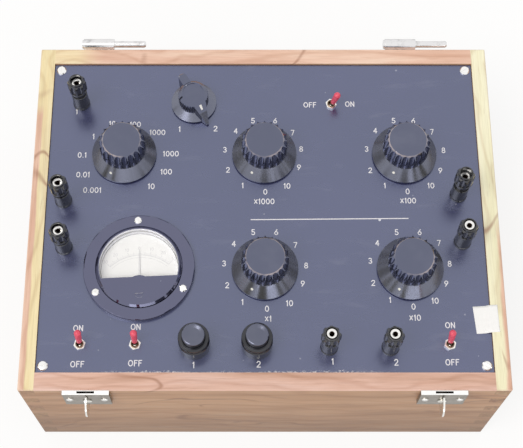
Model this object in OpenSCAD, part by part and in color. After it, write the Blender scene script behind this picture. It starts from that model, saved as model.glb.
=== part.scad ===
// Portable resistance bridge in a comb-jointed wooden case, lid taken off.
// X runs to the right, Y to the back, Z up. The origin is the centre of the underside.

/* [Case] */
// Outside width of the case
case_w = 380; // [378:1:420]
// Outside depth of the case
case_d = 300; // [298:1:340]
// Height from the underside to the rim
case_h = 140; // [130:1:170]
// Thickness of the two side boards
side_t = 12.4; // [11:0.1:13]
// Thickness of the front and back boards
end_t = 14.2; // [13:0.1:15]
// Thickness of the base board
base_t = 6; // [5:0.5:9]
// Fingers in each corner's comb joint
fingers = 11; // [5:2:15]
// Chamfer on the outer edges
edge_ch = 0.8; // [0.4:0.1:1.6]
// Side of the square corner blocks under the panel
block_w = 19; // [16:0.5:20]
// Height of the corner blocks
block_h = 45; // [30:1:60]

/* [Panel] */
// Thickness of the panel
panel_t = 5; // [4:0.5:6]
// Depth of the panel's face below the rim
recess = 2; // [1:0.1:4]
// Gap between the panel and the boards
panel_gap = 0.3; // [0.1:0.1:0.6]
// Inset of the corner screws from the boards
screw_inset = 5.8; // [5:0.1:7]

/* [Dials] */
// Distance between the dial columns
dial_dx = 115.8; // [108:0.2:117]
// Distance between the two dial rows
dial_dy = 100.8; // [96:0.2:104]
// Centre of the dial grid, to the right of the case's centre
dial_cx = 0.5; // [-2:0.1:2]
// Radius of a knob's skirt
skirt_r = 26.5; // [24:0.1:28]
// Upright edge of the skirt
skirt_edge = 1.9; // [1:0.1:3]
// Height at which the skirt's cone meets the fluted grip
skirt_h = 12.5; // [9:0.1:14]
// Radius of the fluted grip
grip_r = 18.6; // [17:0.1:20]
// Radius of the flat top
cap_r = 15.3; // [13:0.1:16]
// Height of a knob above the panel
knob_h = 29; // [26:0.1:32]
// Flutes round the grip
flutes = 20; // [12:1:26]
// Radius of a flute
flute_r = 2.6; // [1.5:0.1:3]
// Depth of a flute
flute_d = 1.3; // [0.6:0.1:1.8]
// Gap between a knob and the panel
knob_gap = 0.8; // [0.5:0.1:1.2]
// Stops on a decade dial
decade_stops = 11; // [11:1:11]
// Stops on the ratio dial
ratio_stops = 10; // [8:1:10]
// Angle between the stops of the ratio dial
ratio_step = 30; // [28:1:30]

/* [Function switch] */
// Place of the function switch, left of the case's centre
func_x = 58.5; // [56:0.1:61]
// Distance from the back boards to the function switch
func_inset = 37.2; // [34:0.1:40]
// Radius of its skirt
func_skirt_r = 18.8; // [17:0.1:20]
// Radius of its grip
func_grip_r = 12.4; // [11:0.1:13]
// Radius of its flat top
func_cap_r = 9.6; // [8:0.1:10.4]
// Height of the knob above the panel
func_h = 20; // [18:0.1:24]
// Reach of the pointer nose from the axis
nose_r = 24; // [21:0.1:26]
// Reach of the tail fin behind the axis
tail_r = 21.5; // [17:0.1:23]

/* [Switches under the panel] */
// Radius of a spindle
spindle_r = 3.17; // [2.8:0.01:3.3]
// Outside radius of a switch bush
bush_r = 4.75; // [4.4:0.05:5.2]
// Radius of a decade deck
deck_r = 31; // [29:0.1:33]
// Radius of the function switch's deck
func_deck_r = 20; // [19:0.1:22]
// Thickness of a deck
deck_t = 3; // [2:0.1:4]
// Distance from the panel down to a deck
deck_drop = 17; // [15:0.5:20]
// Radius of a contact stud
stud_r = 2.4; // [2:0.1:2.6]
// Length of a resistor bobbin
bobbin_l = 24; // [16:0.5:30]
// Radius of a bobbin's flanges
bobbin_r = 4.5; // [3.5:0.1:4.8]

/* [Meter] */
// Distance from the left board to the meter's centre
meter_left = 77.9; // [77:0.1:80]
// Distance from the front board to the meter's centre
meter_inset = 86; // [83:0.1:89]
// Turn of the meter against the panel, anticlockwise
meter_turn = 2.7; // [0:0.1:5]
// Radius of the flange
meter_r = 44.5; // [44:0.1:46]
// Height of the flange above the panel
meter_h = 4.5; // [3.5:0.1:6]
// Radius of the front moulding inside the flange
front_r = 34.4; // [33.8:0.1:35]
// Radius of the half-moon window
window_r = 31.6; // [29:0.1:31.7]
// Window's lower edge below the meter's centre
chord_y = 9.2; // [6:0.1:11]
// Pointer pivot below the meter's centre
pivot_y = 22.5; // [21:0.1:23]
// Length of the pointer from its pivot
needle_l = 39; // [34:0.5:41]
// Depth of the meter's can behind the panel face
can_depth = 42; // [38:0.5:50]
// Circle of the three flange screws
meter_screw_r = 39.8; // [39:0.1:40.5]

/* [Keys, toggles and terminals] */
// Distance from the front board to the front row of controls
front_inset = 22.8; // [21:0.1:25]
// Radius of a key's collar
collar_r = 12.2; // [11.5:0.1:13]
// Height of a key's collar
collar_h = 20.5; // [18:0.1:23]
// Radius of a key's button
button_r = 8.9; // [8:0.1:9.2]
// Height of a key's button above the panel
button_h = 28; // [26:0.1:31]
// Travel of a key
key_travel = 3; // [2:0.1:4]
// Width of a toggle's nut across its flats
nut_af = 8.2; // [8:0.1:9]
// Lean of a toggle from upright
toggle_lean = 13; // [10:0.5:14]
// Reach of a toggle's tip from its pivot
toggle_l = 21.5; // [19:0.5:24]
// Radius of a terminal's base
term_r = 7; // [6.6:0.1:7.4]
// Radius over the lobes of a terminal's cap
lobe_r = 7.7; // [7.4:0.1:8]
// Height of a terminal above the panel
term_h = 36.5; // [36:0.5:40]
// Height of a terminal's base
term_base_h = 19; // [15:0.1:19.4]
// Radius of a plug socket
socket_r = 2.03; // [2:0.01:2.1]
// Depth of a plug socket
socket_l = 22; // [16:0.5:26]
// Outside radius of a post
post_r = 3.8; // [3.6:0.05:4]
// Rise of a cap when it is unscrewed
cap_rise = 6.5; // [3:0.5:7]

/* [Fittings] */
// Width of a catch plate
catch_w = 36; // [34:0.5:40]
// Height of a catch plate
catch_h = 29; // [27:0.5:32]
// Thickness of a catch plate
catch_t = 3.4; // [3.2:0.1:4]
// Width of the slot in a catch
catch_slot_w = 13.6; // [12:0.1:15]
// Distance of a catch from the case's side
catch_inset = 52.4; // [45:0.1:60]
// Radius of the wing on a catch's turn
wing_r = 12; // [9:0.1:13]
// Outside radius of a hinge barrel
barrel_r = 4.6; // [4:0.1:5.5]
// Length of a hinge barrel
barrel_l = 26; // [22:0.5:30]
// Radius of a hinge pin's free end
hinge_pin_r = 2.8; // [2.2:0.05:3.2]
// Free length of a hinge pin
pin_free = 27; // [20:0.5:30]
// Distance of a hinge's split from the case's side
hinge_inset = 61; // [55:0.1:70]

/* [Hidden] */
$fn = 64;
fit = 0.05;          // radial clearance of pieces that turn or slide in each other
seat = 0.02;         // radial clearance of pieces that stay put in each other
gap = 0.3;           // clearance of moving pieces that only pass each other

// Case and panel, worked out
inner_w = case_w - 2 * side_t;
inner_d = case_d - 2 * end_t;
face_z = case_h - recess;
under_z = face_z - panel_t;
panel_w = inner_w - 2 * panel_gap;
panel_d = inner_d - 2 * panel_gap;
finger_h = (case_h - base_t) / fingers;

// Places on the panel
back_y = inner_d / 2;
front_y = -inner_d / 2;
dial_cy = 0.3;
function dial_at(col, row) = [dial_cx + col * dial_dx, dial_cy + row * dial_dy / 2];
ratio_at = dial_at(-1, 1);
x1000_at = dial_at(0, 1);
x100_at = dial_at(1, 1);
x1_at = dial_at(0, -1);
x10_at = dial_at(1, -1);
func_at = [-func_x, back_y - func_inset];
meter_at = [meter_left - inner_w / 2, front_y + meter_inset];
row_y = front_y + front_inset;
key_at = [[-54.7, row_y], [-6, row_y]];
toggle_x = [-inner_w / 2 + 33.6, -inner_w / 2 + 76.6, inner_w / 2 - 33.3];
toggle_back_at = [57, back_y - 38.4];
term_left = -inner_w / 2 + 14;       // line of the terminals beside the left board
term_right = inner_w / 2 - 18;       // and beside the right one
term_at = [[term_left + 10.6, back_y - 37.2], [term_left + 0.2, 9.3], [term_left + 2.9, -31.6],
           [term_right - 0.9, 14.3], [term_right - 0.1, -27], [50.1, row_y - 2.1], [97.8, row_y - 2.3]];
cap_lifts = [0.6, 0.5, 0.45, 1, 0, 0, 0];    // how far each cap is unscrewed, as a share of its rise
screw_at = [for (x = [-1, 1], y = [-1, 1])
            [x * (inner_w / 2 - screw_inset), y * (inner_d / 2 - screw_inset)]];

// Screws
panel_screw_r = 2;
panel_screw_l = 20;
panel_head_r = 4.1;
wood_screw_r = 1.5;
wood_head_r = 2.7;
wood_screw_l = 12;
base_screw_l = 20;
meter_thread_r = 1.5;
meter_head_r = 3.1;
meter_thread_l = 14;

// Switches
nut_h = 3;
nut_r = 8;            // across the corners, half
bush_up = 5.5;
frame_t = 2;
frame_w = 14;
pillar_r = 2.6;
stud_h = 2;
hub_r = 5.4;
hub_h = 3;
spindle_foot = 2;
arm_t = 1.6;
arm_w = 6.4;
deck_z = face_z - panel_t - deck_drop;
spindle_up = 18;
stud_ring = 0.645;    // the studs' circle as a share of the deck's radius
function stud_circle(r) = r * stud_ring;
function pillar_circle(r) = r - pillar_r - 1;
decade_step = 360 / decade_stops;
ratio_first = 45;
func_step = 30;

// Clockwise angle from the front, as seen from above, to an angle about Z
function clock(a) = -90 - a;

// Points of an arc round (cx, cy)
function arc(cx, cy, r, a0, a1, n = 6) =
    [for (i = [0:n]) [cx + r * cos(a0 + (a1 - a0) * i / n), cy + r * sin(a0 + (a1 - a0) * i / n)]];

// Moves to a place on the panel's face
module on_panel(at, turn = 0) translate([at[0], at[1], face_z]) rotate(turn) children();

// A hexagon prism from its width across the flats
module hexagon(af, h) cylinder(r = af / 2 / cos(30), h = h, $fn = 6);

// A tube
module tube(r_out, r_in, h) difference() {
    cylinder(r = r_out, h = h);
    translate([0, 0, -1]) cylinder(r = r_in, h = h + 2);
}

// A slotted screw with a raised head. Its head stands on z = 0
module screw(head_r, thread_r, length, head_h) difference() {
    rotate_extrude() polygon(concat(
        [[0, -length], [thread_r * 0.4, -length], [thread_r, -length + thread_r * 1.5], [thread_r, 0],
         [head_r, 0], [head_r, head_h * 0.4]],
        [[head_r * 0.8, head_h * 0.85], [head_r * 0.45, head_h], [0, head_h]]));
    translate([-head_r - 1, -head_r * 0.11, head_h * 0.45])
        cube([2 * head_r + 2, head_r * 0.22, head_h]);
}

// A slotted countersunk screw. Its flat head ends at z = 0
module sunk_screw(head_r, thread_r, length) difference() {
    rotate_extrude() polygon([[0, -length], [thread_r * 0.4, -length], [thread_r, -length + thread_r * 1.5],
                              [thread_r, -(head_r - thread_r)], [head_r, 0], [0, 0]]);
    translate([-head_r - 1, -head_r * 0.11, -0.8]) cube([2 * head_r + 2, head_r * 0.22, 2]);
}

// The hole for a countersunk screw
module sunk_hole(head_r, thread_r, length) {
    translate([0, 0, -length]) cylinder(r = thread_r + seat, h = length + 1);
    translate([0, 0, -(head_r - thread_r)])
        cylinder(r1 = thread_r + seat, r2 = head_r + seat, h = head_r - thread_r);
}

// ---------------------------------------------------------------- case

// Everything inside the case's chamfered outline
module case_outline() {
    intersection_for (side = [0, 1]) {
        w = side == 0 ? case_w : case_d;
        l = side == 0 ? case_d : case_w;
        rotate([90, 0, side * 90]) translate([0, 0, -l / 2]) linear_extrude(l)
            polygon([[-w / 2, 0], [w / 2, 0], [w / 2, case_h - edge_ch], [w / 2 - edge_ch, case_h],
                     [-w / 2 + edge_ch, case_h], [-w / 2, case_h - edge_ch]]);
    }
}

// The slabs of a comb joint, from first (0 or 1) in steps of two
module comb(first, x, y) for (i = [first : 2 : fingers - 1])
    translate([x[0], y[0], base_t + i * finger_h]) cube([x[1] - x[0], y[1] - y[0], finger_h]);

module case_corners() {
    x = case_w / 2 - edge_ch;
    y = case_d / 2 - edge_ch;
    linear_extrude(case_h) polygon([[-x, -case_d / 2], [x, -case_d / 2], [case_w / 2, -y], [case_w / 2, y],
                                    [x, case_d / 2], [-x, case_d / 2], [-case_w / 2, y], [-case_w / 2, -y]]);
}

module base_board() color("peru") difference() {
    intersection() {
        translate([-case_w / 2, -case_d / 2, 0]) cube([case_w, case_d, base_t]);
        case_corners();
    }
    base_holes();
}

base_screw_at = concat(
    [for (x = [-0.32, 0, 0.32], y = [-1, 1]) [x * case_w, y * (case_d - end_t) / 2]],
    [for (y = [-0.25, 0.25], x = [-1, 1]) [x * (case_w - side_t) / 2, y * case_d]]);

module base_holes() for (p = base_screw_at)
    translate([p[0], p[1], 0]) mirror([0, 0, 1]) sunk_hole(wood_head_r, wood_screw_r, base_screw_l);

module side_board(side) color("burlywood") difference() {
    intersection() {
        union() {
            translate([side > 0 ? inner_w / 2 : -case_w / 2, -inner_d / 2, base_t])
                cube([side_t, inner_d, case_h - base_t]);
            for (end = [-1, 1])
                comb(0, side > 0 ? [inner_w / 2, case_w / 2] : [-case_w / 2, -inner_w / 2],
                     end > 0 ? [inner_d / 2, case_d / 2] : [-case_d / 2, -inner_d / 2]);
        }
        case_outline();
        case_corners();
    }
    base_holes();
}
module left_board() side_board(-1);
module right_board() side_board(1);

module end_board(end) color("tan") difference() {
    intersection() {
        union() {
            translate([-inner_w / 2, end > 0 ? inner_d / 2 : -case_d / 2, base_t])
                cube([inner_w, end_t, case_h - base_t]);
            for (side = [-1, 1])
                comb(1, side > 0 ? [inner_w / 2, case_w / 2] : [-case_w / 2, -inner_w / 2],
                     end > 0 ? [inner_d / 2, case_d / 2] : [-case_d / 2, -inner_d / 2]);
        }
        case_outline();
        case_corners();
    }
    base_holes();
    fitting_holes();
}
module front_board() end_board(-1);
module back_board() end_board(1);

module corner_blocks() color("tan") for (x = [-1, 1], y = [-1, 1]) difference() {
    translate([x > 0 ? inner_w / 2 - block_w : -inner_w / 2, y > 0 ? inner_d / 2 - block_w : -inner_d / 2,
               under_z - block_h]) cube([block_w, block_w, block_h]);
    panel_screw_holes();
}

// ---------------------------------------------------------------- panel

module panel_screw_holes() for (p = screw_at)
    translate([p[0], p[1], face_z - panel_screw_l]) cylinder(r = panel_screw_r + seat, h = panel_screw_l + 1);

// Through holes in the panel for everything that it carries
module panel_holes() {
    for (at = [ratio_at, x1000_at, x100_at, x10_at, x1_at, func_at]) on_panel(at) through(bush_r + seat);
    for (at = key_at) on_panel(at) through(neck_r + seat);
    for (at = term_at) on_panel(at) through(term_boss_r + seat);
    on_panel(toggle_back_at) through(toggle_bush_r + seat);
    for (x = toggle_x) on_panel([x, row_y]) through(toggle_bush_r + seat);
    on_panel(meter_at) through(can_r + seat);
    on_panel(meter_at, meter_turn) meter_screw_places() through(meter_thread_r + seat);
}
module through(r) translate([0, 0, -panel_t - 1]) cylinder(r = r, h = panel_t + 2);

module panel() color("dimgray") difference() {
    translate([-panel_w / 2, -panel_d / 2, under_z]) cube([panel_w, panel_d, panel_t]);
    panel_holes();
    panel_screw_holes();
}

module panel_screws() color("whitesmoke") for (i = [0 : 3])
    translate([screw_at[i][0], screw_at[i][1], face_z]) rotate(20 + 65 * i)
        screw(panel_head_r, panel_screw_r, panel_screw_l, 2);

// ---------------------------------------------------------------- hinges and catches

hinge_z = case_h;
hinge_y = case_d / 2 + barrel_r + 0.2;
pin_root_r = hinge_pin_r + 0.2;
leaf_t = 1.6;
leaf_h = 30;
hinge_x = case_w / 2 - hinge_inset;
hinge_split = [-hinge_x + 1.5, hinge_x + 1.5];    // both pins point to the right
hinge_screw_at = [for (s = hinge_split, p = [[-0.27, -0.42], [0.27, -0.42], [0, -0.8]])
                  [s - barrel_l / 2 + p[0] * barrel_l, hinge_z + p[1] * leaf_h]];
catch_x = case_w / 2 - catch_inset;
catch_screw_dx = 13.5;
catch_z = case_h - catch_h * 0.5;
catch_turn_z = case_h - 16;
catch_screw_at = [for (s = [-1, 1], d = [-1, 1]) [s * catch_x + d * catch_screw_dx, case_h - 13.4]];

// Puts a screw's place on the back face, or on the catch plates' faces in front
module back_screws() for (p = hinge_screw_at)
    translate([p[0], case_d / 2 + leaf_t, p[1]]) rotate([-90, 0, 0]) children();
module front_screws() for (p = catch_screw_at)
    translate([p[0], -case_d / 2 - catch_t, p[1]]) rotate([90, 0, 0]) children();

module fitting_holes() {
    back_screws() translate([0, 0, -wood_screw_l]) cylinder(r = wood_screw_r + seat, h = wood_screw_l + 1);
    front_screws() translate([0, 0, -wood_screw_l]) cylinder(r = wood_screw_r + seat, h = wood_screw_l + 1);
}

module fitting_screws() color("silver") {
    back_screws() screw(wood_head_r, wood_screw_r, wood_screw_l, 1.3);
    front_screws() screw(wood_head_r, wood_screw_r, wood_screw_l, 1.3);
    for (p = base_screw_at) translate([p[0], p[1], 0]) mirror([0, 0, 1])
        sunk_screw(wood_head_r, wood_screw_r, base_screw_l);
}

// A leaf bent out of one strip: flat on the back board, rolled into a barrel at the rim
module hinge_leaves() color("silver") for (s = hinge_split) difference() {
    translate([s - barrel_l, 0, 0]) rotate([90, 0, 90]) linear_extrude(barrel_l) difference() {
        union() {
            translate([hinge_y, hinge_z]) circle(barrel_r);
            translate([case_d / 2, hinge_z - leaf_h]) square([leaf_t, leaf_h]);
        }
        translate([hinge_y, hinge_z]) circle(pin_root_r + seat);
    }
    fitting_holes();
}

// A headed pin. Its free end, past the barrel, is a little thinner
module hinge_pins() color("gainsboro") for (s = hinge_split)
    translate([s, hinge_y, hinge_z]) rotate([0, 90, 0]) rotate_extrude()
        polygon([[0, -barrel_l - 1.4], [pin_root_r + 0.7, -barrel_l - 1.4], [pin_root_r + 0.7, -barrel_l],
                 [pin_root_r, -barrel_l], [pin_root_r, 0], [hinge_pin_r, 0],
                 [hinge_pin_r, pin_free - 1.2], [hinge_pin_r - 0.8, pin_free], [0, pin_free]]);

pocket_y = 0.6;        // metal behind the pocket that takes the lid's tongue
pocket_t = 1.7;
play = 0.2;            // end play of the turn in its pocket
wing_t = 1.4;
turn_pin_r = 2;
turn_disc_r = 5.6;

module catch_plates() color("silver") for (s = [-1, 1]) difference() {
    translate([s * catch_x - catch_w / 2, -case_d / 2 - catch_t, case_h - catch_h])
        cube([catch_w, catch_t, catch_h]);
    translate([s * catch_x - catch_slot_w / 2, -case_d / 2 - pocket_y - pocket_t,
               catch_turn_z - turn_disc_r - 1])
        cube([catch_slot_w, pocket_t, case_h]);
    translate([s * catch_x, -case_d / 2 - pocket_y, catch_turn_z]) rotate([90, 0, 0])
        cylinder(r = turn_pin_r + fit, h = catch_t);
    fitting_holes();
}

// Half-round wing on a short pin, with the hook that holds the lid's tongue in the pocket behind
module catch_turn(s) color("gainsboro")
    translate([s * catch_x, -case_d / 2, catch_turn_z]) rotate([90, 0, 0]) {
        translate([0, 0, pocket_y + play]) linear_extrude(pocket_t - 2 * play) difference() {
            circle(turn_disc_r);
            translate([turn_pin_r, -turn_disc_r]) square(2 * turn_disc_r);
        }
        translate([0, 0, pocket_y + 0.5]) cylinder(r = turn_pin_r, h = catch_t - pocket_y + 0.5);
        translate([0, 0, catch_t + gap]) cylinder(r = turn_pin_r + 1.4, h = 0.9);
        translate([-wing_t / 2, 0, catch_t + 0.9]) rotate([0, 90, 0]) linear_extrude(wing_t)
            polygon(concat([[0, -wing_r * 0.85]], arc(0, 0, wing_r, -92, -268, 20), [[0, wing_r * 0.85]]));
    }
module catch_turn_left() catch_turn(-1);
module catch_turn_right() catch_turn(1);

// ---------------------------------------------------------------- dial knobs

// The revolved outline of a skirted knob, with its hollow underside
module knob_body(r_skirt, edge, h_skirt, r_grip, r_cap, h, r_hollow, h_hollow) difference() {
    rotate_extrude() polygon(concat(
        [[0, knob_gap], [r_skirt - 0.5, knob_gap], [r_skirt, knob_gap + 0.5], [r_skirt, knob_gap + edge],
         [r_grip, h_skirt], [r_grip, h - (r_grip - r_cap) * 1.15], [r_cap, h - 0.3],
         [r_cap - 0.4, h], [0, h]]));
    translate([0, 0, -1]) cylinder(r = r_hollow, h = h_hollow + 1);
    cylinder(r = spindle_r + seat, h = spindle_top(h));
}
cap_floor = 4;         // metal or moulding over the spindle's end
function spindle_top(h) = min(spindle_up, h - cap_floor) + 0.5;

// The flutes lean inwards and run out beside the flat top
flute_lean = atan((grip_r - flute_d - cap_r - 0.2) / (knob_h - skirt_h));

module dial_knob(at) color("dimgray") on_panel(at) difference() {
    knob_body(skirt_r, skirt_edge, skirt_h, grip_r, cap_r, knob_h, nut_r + 4, bush_up + 1);
    for (i = [0 : flutes - 1]) rotate((i + 0.5) * 360 / flutes)
        translate([grip_r - flute_d, 0, skirt_h - 0.4]) rotate([0, -flute_lean, 0])
            translate([flute_r, 0, 0]) cylinder(r = flute_r, h = knob_h);
}
module ratio_knob() dial_knob(ratio_at);
module x1000_knob() dial_knob(x1000_at);
module x100_knob() dial_knob(x100_at);
module x10_knob() dial_knob(x10_at);
module x1_knob() dial_knob(x1_at);

func_flutes = 36;
func_rest = -func_step;     // the nose rests at the right-hand stop
nose_w = 10.5;
tail_w = 7;
nose_break = 0.4;      // where the nose turns steep, as a share of its reach past the grip
dish_d = 0.5;

// The nose in plan, cut in side view to its sloping back and its steep front
module pointer_nose() intersection() {
    translate([0, 0, knob_gap]) linear_extrude(func_h)
        polygon([[0, -nose_w / 2], [func_grip_r, -nose_w / 2], [nose_r, -1], [nose_r, 1],
                 [func_grip_r, nose_w / 2], [0, nose_w / 2]]);
    rotate([90, 0, 0]) translate([0, 0, -nose_w]) linear_extrude(2 * nose_w)
        polygon([[spindle_r + 2, 0], [nose_r, 0], [nose_r, 2.2],
                 [func_grip_r + nose_break * (nose_r - func_grip_r), func_h * 0.62],
                 [func_grip_r - 0.6, func_h * 0.88], [spindle_r + 2, func_h * 0.88]]);
}

// The tail opposite the nose, rounded at its end
module tail_fin() intersection() {
    translate([0, 0, knob_gap]) linear_extrude(func_h) hull() {
        translate([-tail_r + tail_w / 2, 0]) circle(tail_w / 2);
        translate([-spindle_r - 2, -tail_w / 2]) square([1, tail_w]);
    }
    rotate([90, 0, 0]) translate([0, 0, -nose_w]) linear_extrude(2 * nose_w)
        polygon([[-spindle_r - 1, 0], [-tail_r + 3.5, 0], [-tail_r + 3.5, 3], [-tail_r, func_h * 0.6],
                 [-tail_r, func_h * 0.84], [-tail_r + 1.2, func_h * 0.9], [-spindle_r - 1, func_h * 0.94]]);
}

module function_knob() color("dimgray") on_panel(func_at) difference() {
    union() {
        difference() {
            knob_body(func_skirt_r, 1.3, 6.5, func_grip_r, func_cap_r, func_h, nut_r + 2, bush_up + 0.4);
            for (i = [0 : func_flutes - 1]) rotate(i * 360 / func_flutes)
                translate([func_grip_r + 0.25, 0, 6.3]) cylinder(r = 0.65, h = func_h, $fn = 16);
        }
        rotate(clock(func_rest)) {
            pointer_nose();
            tail_fin();
        }
    }
    translate([0, 0, -1]) cylinder(r = nut_r + 2, h = bush_up + 1.4);
    translate([0, 0, func_h - dish_d]) cylinder(r = func_cap_r - 1.2, h = dish_d + 1);
}

// ---------------------------------------------------------------- rotary switches

// Bush, plate and two pillars in one frame, and the nut that holds it to the panel
module switch_frame(at, r) on_panel(at) {
    difference() {
        union() {
            translate([0, 0, -panel_t - frame_t]) cylinder(r = bush_r, h = panel_t + frame_t + bush_up);
            translate([-pillar_circle(r) - pillar_r, -frame_w / 2, -panel_t - frame_t])
                cube([2 * (pillar_circle(r) + pillar_r), frame_w, frame_t]);
            for (s = [-1, 1]) translate([s * pillar_circle(r), 0, -panel_t - deck_drop + deck_t])
                cylinder(r = pillar_r, h = deck_drop - deck_t - frame_t / 2);
        }
        translate([0, 0, -panel_t - frame_t - 1]) cylinder(r = spindle_r + fit, h = 40);
    }
    difference() {
        hexagon(2 * nut_r * cos(30), nut_h);
        translate([0, 0, -1]) cylinder(r = bush_r + seat, h = nut_h + 2);
    }
}

module switch_frames() color("silver") {
    for (at = [ratio_at, x1000_at, x100_at, x10_at, x1_at]) switch_frame(at, deck_r);
    switch_frame(func_at, func_deck_r);
}

// A deck with one stud at each stop
module switch_deck(at, r, first, step, stops) translate([at[0], at[1], deck_z]) difference() {
    union() {
        cylinder(r = r, h = deck_t);
        for (i = [0 : stops - 1]) rotate(clock(first + i * step))
            translate([stud_circle(r), 0, deck_t / 2]) cylinder(r = stud_r, h = deck_t / 2 + stud_h);
    }
    translate([0, 0, -1]) cylinder(r = spindle_r + fit, h = deck_t + 2);
}

module switch_decks() color("sienna") {
    for (at = [x1000_at, x100_at, x10_at, x1_at]) switch_deck(at, deck_r, 0, decade_step, decade_stops);
    switch_deck(ratio_at, deck_r, ratio_first, ratio_step, ratio_stops);
    switch_deck(func_at, func_deck_r, -func_step, func_step, 3);
}

// Spindle, hub and wiper. The wiper rests at the clockwise angle a
module rotor(at, r, h, a) color("goldenrod") translate([at[0], at[1], 0]) {
    arm_z = deck_z + deck_t + stud_h + gap;
    translate([0, 0, deck_z - spindle_foot])
        cylinder(r = spindle_r, h = face_z + spindle_top(h) - 0.5 - deck_z + spindle_foot);
    translate([0, 0, arm_z]) cylinder(r = hub_r, h = arm_t + hub_h);
    translate([0, 0, arm_z]) rotate(clock(a)) linear_extrude(arm_t) union() {
        translate([-hub_r - 2, -arm_w / 2]) square([stud_circle(r) + hub_r + 2, arm_w]);
        translate([stud_circle(r), 0]) circle(arm_w / 2);
    }
}
module ratio_rotor() rotor(ratio_at, deck_r, knob_h, ratio_first);
module x1000_rotor() rotor(x1000_at, deck_r, knob_h, decade_step);
module x100_rotor() rotor(x100_at, deck_r, knob_h, decade_step);
module x10_rotor() rotor(x10_at, deck_r, knob_h, decade_step);
module x1_rotor() rotor(x1_at, deck_r, knob_h, decade_step);
module function_rotor() rotor(func_at, func_deck_r, func_h, func_rest);

// Spools of resistance wire in a ring under each deck, one between each two studs
module bobbins(at, first, step, count) translate([at[0], at[1], deck_z - bobbin_l])
    for (i = [0 : count - 1]) rotate(clock(first + (i + 0.5) * step)) translate([stud_circle(deck_r), 0, 0])
        rotate_extrude() polygon([[0, 0], [bobbin_r, 0], [bobbin_r, 1.5], [bobbin_r - 1, 1.5],
                                  [bobbin_r - 1, bobbin_l - 1.5], [bobbin_r, bobbin_l - 1.5],
                                  [bobbin_r, bobbin_l], [0, bobbin_l]]);

module resistor_bobbins() color("darkkhaki") {
    for (at = [x1000_at, x100_at, x10_at, x1_at]) bobbins(at, 0, decade_step, decade_stops - 1);
    bobbins(ratio_at, ratio_first, ratio_step, ratio_stops - 1);
}

// ---------------------------------------------------------------- meter

can_r = front_r - 1.4;
can_wall = 2;
well_z = 1.2;          // floor of the well that holds the glass and the front moulding
glass_t = 1.6;
zero_r = 3.2;
zero_y = pivot_y + 1;
dial_z = -4;
dial_t = 0.8;
cover_up = 2.2;        // the front moulding's face above the flange
cover_ch = 1.6;        // its chamfer
hump_r = 10.3;
hump_h = 1.3;
coil_r = 6;
coil_h = 14;
magnet = [34, 38, 26];
magnet_y = -24;        // its front face, from the meter's centre

module meter_frame(z = 0) on_panel(meter_at, meter_turn) translate([0, 0, z]) children();
module meter_screw_places() for (a = [90, 210, 330]) rotate(a) translate([meter_screw_r, 0, 0]) children();

module meter_case() color("dimgray") meter_frame() difference() {
    rotate_extrude() polygon(concat(
        [[0, -can_depth], [can_r, -can_depth], [can_r, 0], [meter_r, 0]],
        arc(meter_r - 1.2, meter_h - 1.2, 1.2, 0, 90, 4),
        [[front_r + 0.4, meter_h], [front_r, meter_h - 0.4], [front_r, well_z], [can_r - can_wall, well_z],
         [can_r - can_wall, can_wall - can_depth], [0, can_wall - can_depth]]));
    meter_screw_places() translate([0, 0, -1]) cylinder(r = meter_thread_r + seat, h = meter_h + 2);
}

// The half-moon window, with the hump over the pivot standing into it
module window_shape() difference() {
    circle(window_r);
    translate([-front_r, -2 * front_r - chord_y]) square(2 * front_r);
    translate([0, hump_h - hump_r - chord_y]) circle(hump_r);
}

module meter_cover() color("dimgray") meter_frame() difference() {
    union() {
        rotate_extrude() polygon([[0, well_z + glass_t], [front_r - gap, well_z + glass_t],
                                  [front_r - gap, meter_h + cover_up - cover_ch - 0.3],
                                  [front_r - gap - cover_ch, meter_h + cover_up], [0, meter_h + cover_up]]);
        translate([0, 0, well_z]) linear_extrude(glass_t + 0.1) intersection() {
            circle(front_r - gap);
            translate([-front_r, -2 * front_r - chord_y - 5]) square(2 * front_r);
        }
    }
    linear_extrude(20) window_shape();
    translate([0, -zero_y, 0]) cylinder(r = zero_r + fit, h = 20);
}

module meter_glass() color([0.8, 0.9, 0.95, 0.4]) meter_frame(well_z) linear_extrude(glass_t) intersection() {
    circle(front_r - gap);
    translate([-front_r, -chord_y - 4.7]) square([2 * front_r, 2 * front_r]);
}

module meter_dial() color("ivory") meter_frame(dial_z) difference() {
    cylinder(r = can_r - can_wall - gap, h = dial_t);
    translate([0, -pivot_y, -1]) cylinder(r = coil_r + 0.6, h = 3);
}

// Horseshoe magnet with a pillar under each side of the dial
module meter_magnet() color("slategray") meter_frame() {
    difference() {
        translate([-magnet[0] / 2, magnet_y, can_wall - can_depth]) cube(magnet);
        translate([0, -pivot_y, -can_depth]) cylinder(r = coil_r + 1, h = can_depth);
    }
    for (s = [-1, 1]) translate([s * (magnet[0] / 2 - 4), magnet_y + magnet[1] - 6, 0])
        translate([0, 0, can_wall - can_depth + magnet[2] - 1])
            cylinder(r = 2, h = can_depth - can_wall - magnet[2] + 1 + dial_z);
}

module meter_needle() color("black") meter_frame() translate([0, -pivot_y, 0]) {
    translate([0, 0, can_wall - can_depth + gap]) cylinder(r = 0.8, h = can_depth - can_wall - gap - 2.4);
    translate([0, 0, can_wall - can_depth + coil_h / 2]) cylinder(r = coil_r, h = coil_h);
    translate([0, 0, dial_z + dial_t + gap]) cylinder(r = 2.2, h = 1.6);
    translate([0, 0, dial_z + dial_t + gap + 0.5]) linear_extrude(0.5)
        polygon([[-1.6, -8], [1.6, -8], [0.9, 0], [0.5, needle_l * 0.7], [0.15, needle_l],
                 [-0.15, needle_l], [-0.5, needle_l * 0.7], [-0.9, 0]]);
}

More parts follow.
